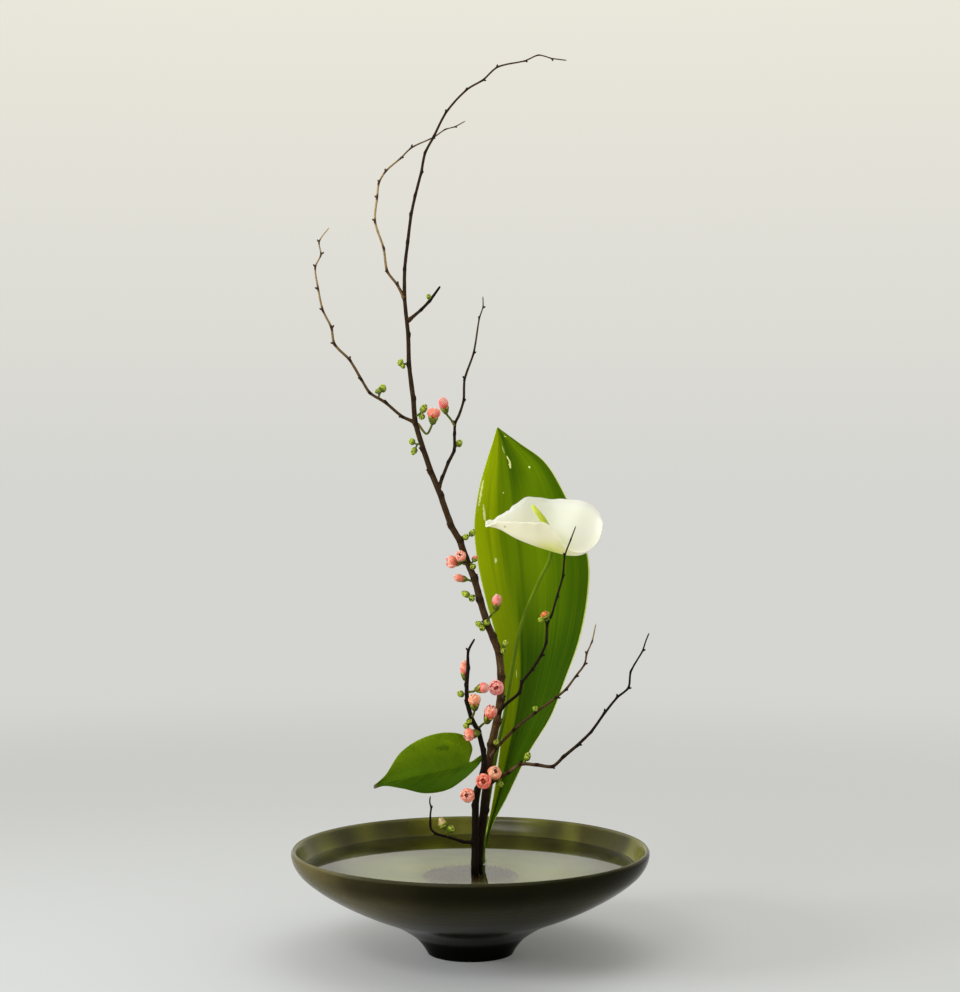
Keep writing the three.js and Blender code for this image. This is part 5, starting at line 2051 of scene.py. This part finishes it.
@dataclass
class Studio:
    """A pale floor that runs out into a pale room, soft lights and the camera."""

    camera_place: Point = (8.0, -1550.0, 382.5)
    lens: float = 66.98
    room_low: Colour = linear(213, 213, 209)
    room_high: Colour = linear(234, 231, 219)
    floor_tone: Colour = linear(191, 194, 198)
    floor_radius: float = 40.0

    def build(self) -> None:
        """Sets the camera, the floor, the room and the lights."""
        self.camera()
        self.floor()
        self.room()
        self.light("key", (-0.95, -1.45, 1.7), (1.1, 0.5), 11.0, (0, 0, 0.15))
        self.light("top", (0.3, 0.2, 2.3), (1.4, 1.4), 8.0, (0, 0, 0.1), shines=False)
        self.light("left", (-1.8, -0.6, 0.8), (0.8, 0.5), 5.0, (0, 0, 0.3), spread=75,
                   shines=False)
        bpy.context.scene.view_settings.view_transform = "Standard"

    def camera(self) -> None:
        """A level camera in front of the bowl."""
        data = bpy.data.cameras.new("camera")
        data.lens, data.sensor_width = self.lens, 36.0
        data.clip_start, data.clip_end = 0.05, 200.0
        camera = put("camera", data)
        camera.location = Vector(self.camera_place) * MM
        camera.rotation_euler = (math.pi / 2, 0, 0)
        bpy.context.scene.camera = camera

    def floor(self) -> None:
        """A round floor whose far part is as bright as the room behind it."""
        bm = bmesh.new()
        bmesh.ops.create_circle(bm, cap_ends=True, segments=96, radius=self.floor_radius)
        mesh = bpy.data.meshes.new("floor")
        bm.to_mesh(mesh)
        bm.free()
        shader = Shader("floor_paper", Roughness=0.6, Specular_IOR_Level=0.2,
                        Base_Color=self.floor_tone)
        reach = shader.add("ShaderNodeVectorMath", {0: shader.place()}, operation="LENGTH")
        glow = shader.add("ShaderNodeEmission", {"Color": self.room_low})
        mixer = shader.add("ShaderNodeMixShader", {
            0: shader.fade(reach.outputs["Value"], 0.45, 2.2, 0.1, 1.0),
            1: shader.surface.outputs["BSDF"], 2: glow.outputs[0]})
        shader.feed(shader.output, "Surface", mixer.outputs[0])
        mesh.materials.append(shader.material)
        put("floor", mesh)

    def room(self) -> None:
        """The pale surroundings, a little brighter and warmer higher up."""
        world = bpy.data.worlds.new("room")
        bpy.context.scene.world = world
        world.use_nodes = True
        tree = world.node_tree
        place = tree.nodes.new("ShaderNodeTexCoord")
        parts = tree.nodes.new("ShaderNodeSeparateXYZ")
        tree.links.new(place.outputs["Generated"], parts.inputs[0])
        share = tree.nodes.new("ShaderNodeMapRange")
        share.inputs[1].default_value, share.inputs[2].default_value = 0.0, 0.26
        tree.links.new(parts.outputs[2], share.inputs[0])
        colour = tree.nodes.new("ShaderNodeMix")
        colour.data_type = "RGBA"
        colour.inputs[6].default_value = (*self.room_low, 1)
        colour.inputs[7].default_value = (*self.room_high, 1)
        tree.links.new(share.outputs[0], colour.inputs[0])
        tree.links.new(colour.outputs[2], tree.nodes["Background"].inputs[0])

    @staticmethod
    def light(name: str, place: Point, size: tuple[float, float], power: float,
              target: Point, spread: float = 180, shines: bool = True) -> None:
        """One soft oblong light.

        Args:
            name: Its name.
            place: Where it hangs, in metres.
            size: Its width and height.
            power: Its power in watts.
            target: The place that it faces.
            spread: How widely it throws its light, in degrees.
            shines: Whether its image shows in glossy things.
        """
        data = bpy.data.lights.new(name, "AREA")
        data.shape, data.size, data.size_y = "RECTANGLE", *size
        data.energy, data.spread = power, math.radians(spread)
        lamp = put(name, data)
        lamp.location = place
        way = Vector(target) - Vector(place)
        lamp.rotation_euler = way.to_track_quat("-Z", "Y").to_euler()
        lamp.visible_transmission = False  # keeps bright patches out of the water
        lamp.visible_camera, lamp.visible_glossy = False, shines


# ---------------------------------------------------------------- assembly


def dyed(finish: Callable[..., object], name: str,
         tones: Sequence[tuple[int, int, int]]) -> Material:
    """A finish's material in tones given as display colours."""
    return finish(name, *(linear(*tone) for tone in tones)).make()


SKINS = {  # each green finish with its body, shade and light; the buds' stand last
    "stamen_filament": ((232, 84, 60), (222, 62, 46), (238, 110, 80)),
    "stamen_anther": ((206, 110, 60), (150, 50, 36), (232, 176, 92)),
    "sepal_green": ((116, 130, 16), (58, 62, 4), (178, 188, 66)),
    "bud_green": ((122, 146, 14), (50, 68, 2), (196, 208, 74)),
    "bud_orange": ((206, 108, 44), (150, 66, 26), (236, 160, 96)),
    "bud_cream": ((214, 192, 140), (170, 140, 84), (238, 224, 190)),
    "bud_pink": ((232, 150, 134), (206, 104, 90), (246, 196, 184)),
}
STALKS = {
    "flower_stalk_brown": ((92, 68, 26), (46, 30, 12), (124, 108, 46)),
    "leaf_stalk_green": ((88, 112, 14), (52, 78, 4), (140, 162, 52)),
}


def build_plants() -> None:
    """Builds the wood, the blossoms, the buds, the leaves and the anthurium."""
    bark = BarkFinish().make()
    QuinceWood("quince_branch_wood", "quince_branch", MAIN_BRANCH, seed=11).build(bark)
    QuinceWood("quince_second_wood", "quince_second_stem", SECOND_STEM, seed=5).build(bark)
    petals = {tint: dyed(PetalFinish, f"petal_{tint.name.lower()}", tint.value)
              for tint in PetalTint}
    filament, anther, sepal, *buds = (dyed(GreenFinish, name, tones)
                                      for name, tones in SKINS.items())
    woody, stalk = (dyed(StalkFinish, name, tones) for name, tones in STALKS.items())
    for number, spec in enumerate(BLOSSOMS, start=1):
        Blossom(spec, number).build([petals[spec.tint], filament, anther])
        Calyx(spec, number).build([sepal, woody])
    for number, cluster in enumerate(BUD_CLUSTERS, start=1):
        LeafBuds(cluster, number).build(buds)
    Leaf("strap_leaf_blade", "strap_leaf", STRAP_LEAF, STRAP_STALK, 44, 180, ribs=6,
         rib_depth=0.1).build([StrapLeafFinish().make(), stalk])
    Leaf("round_leaf_blade", "round_leaf", ROUND_LEAF, ROUND_STALK, 36, 96, ribs=8,
         rib_depth=0.3, slanted=True).build([RoundLeafFinish().make(), stalk])
    Anthurium().build()


def main() -> None:
    """Builds the arrangement round the frame."""
    logging.basicConfig(level=logging.INFO, format="%(message)s")
    Studio().build()
    bowl = Bowl()
    bowl.build()
    Water().build(bowl)
    PinHolder().build()
    build_plants()


if __name__ == "__main__":
    main()
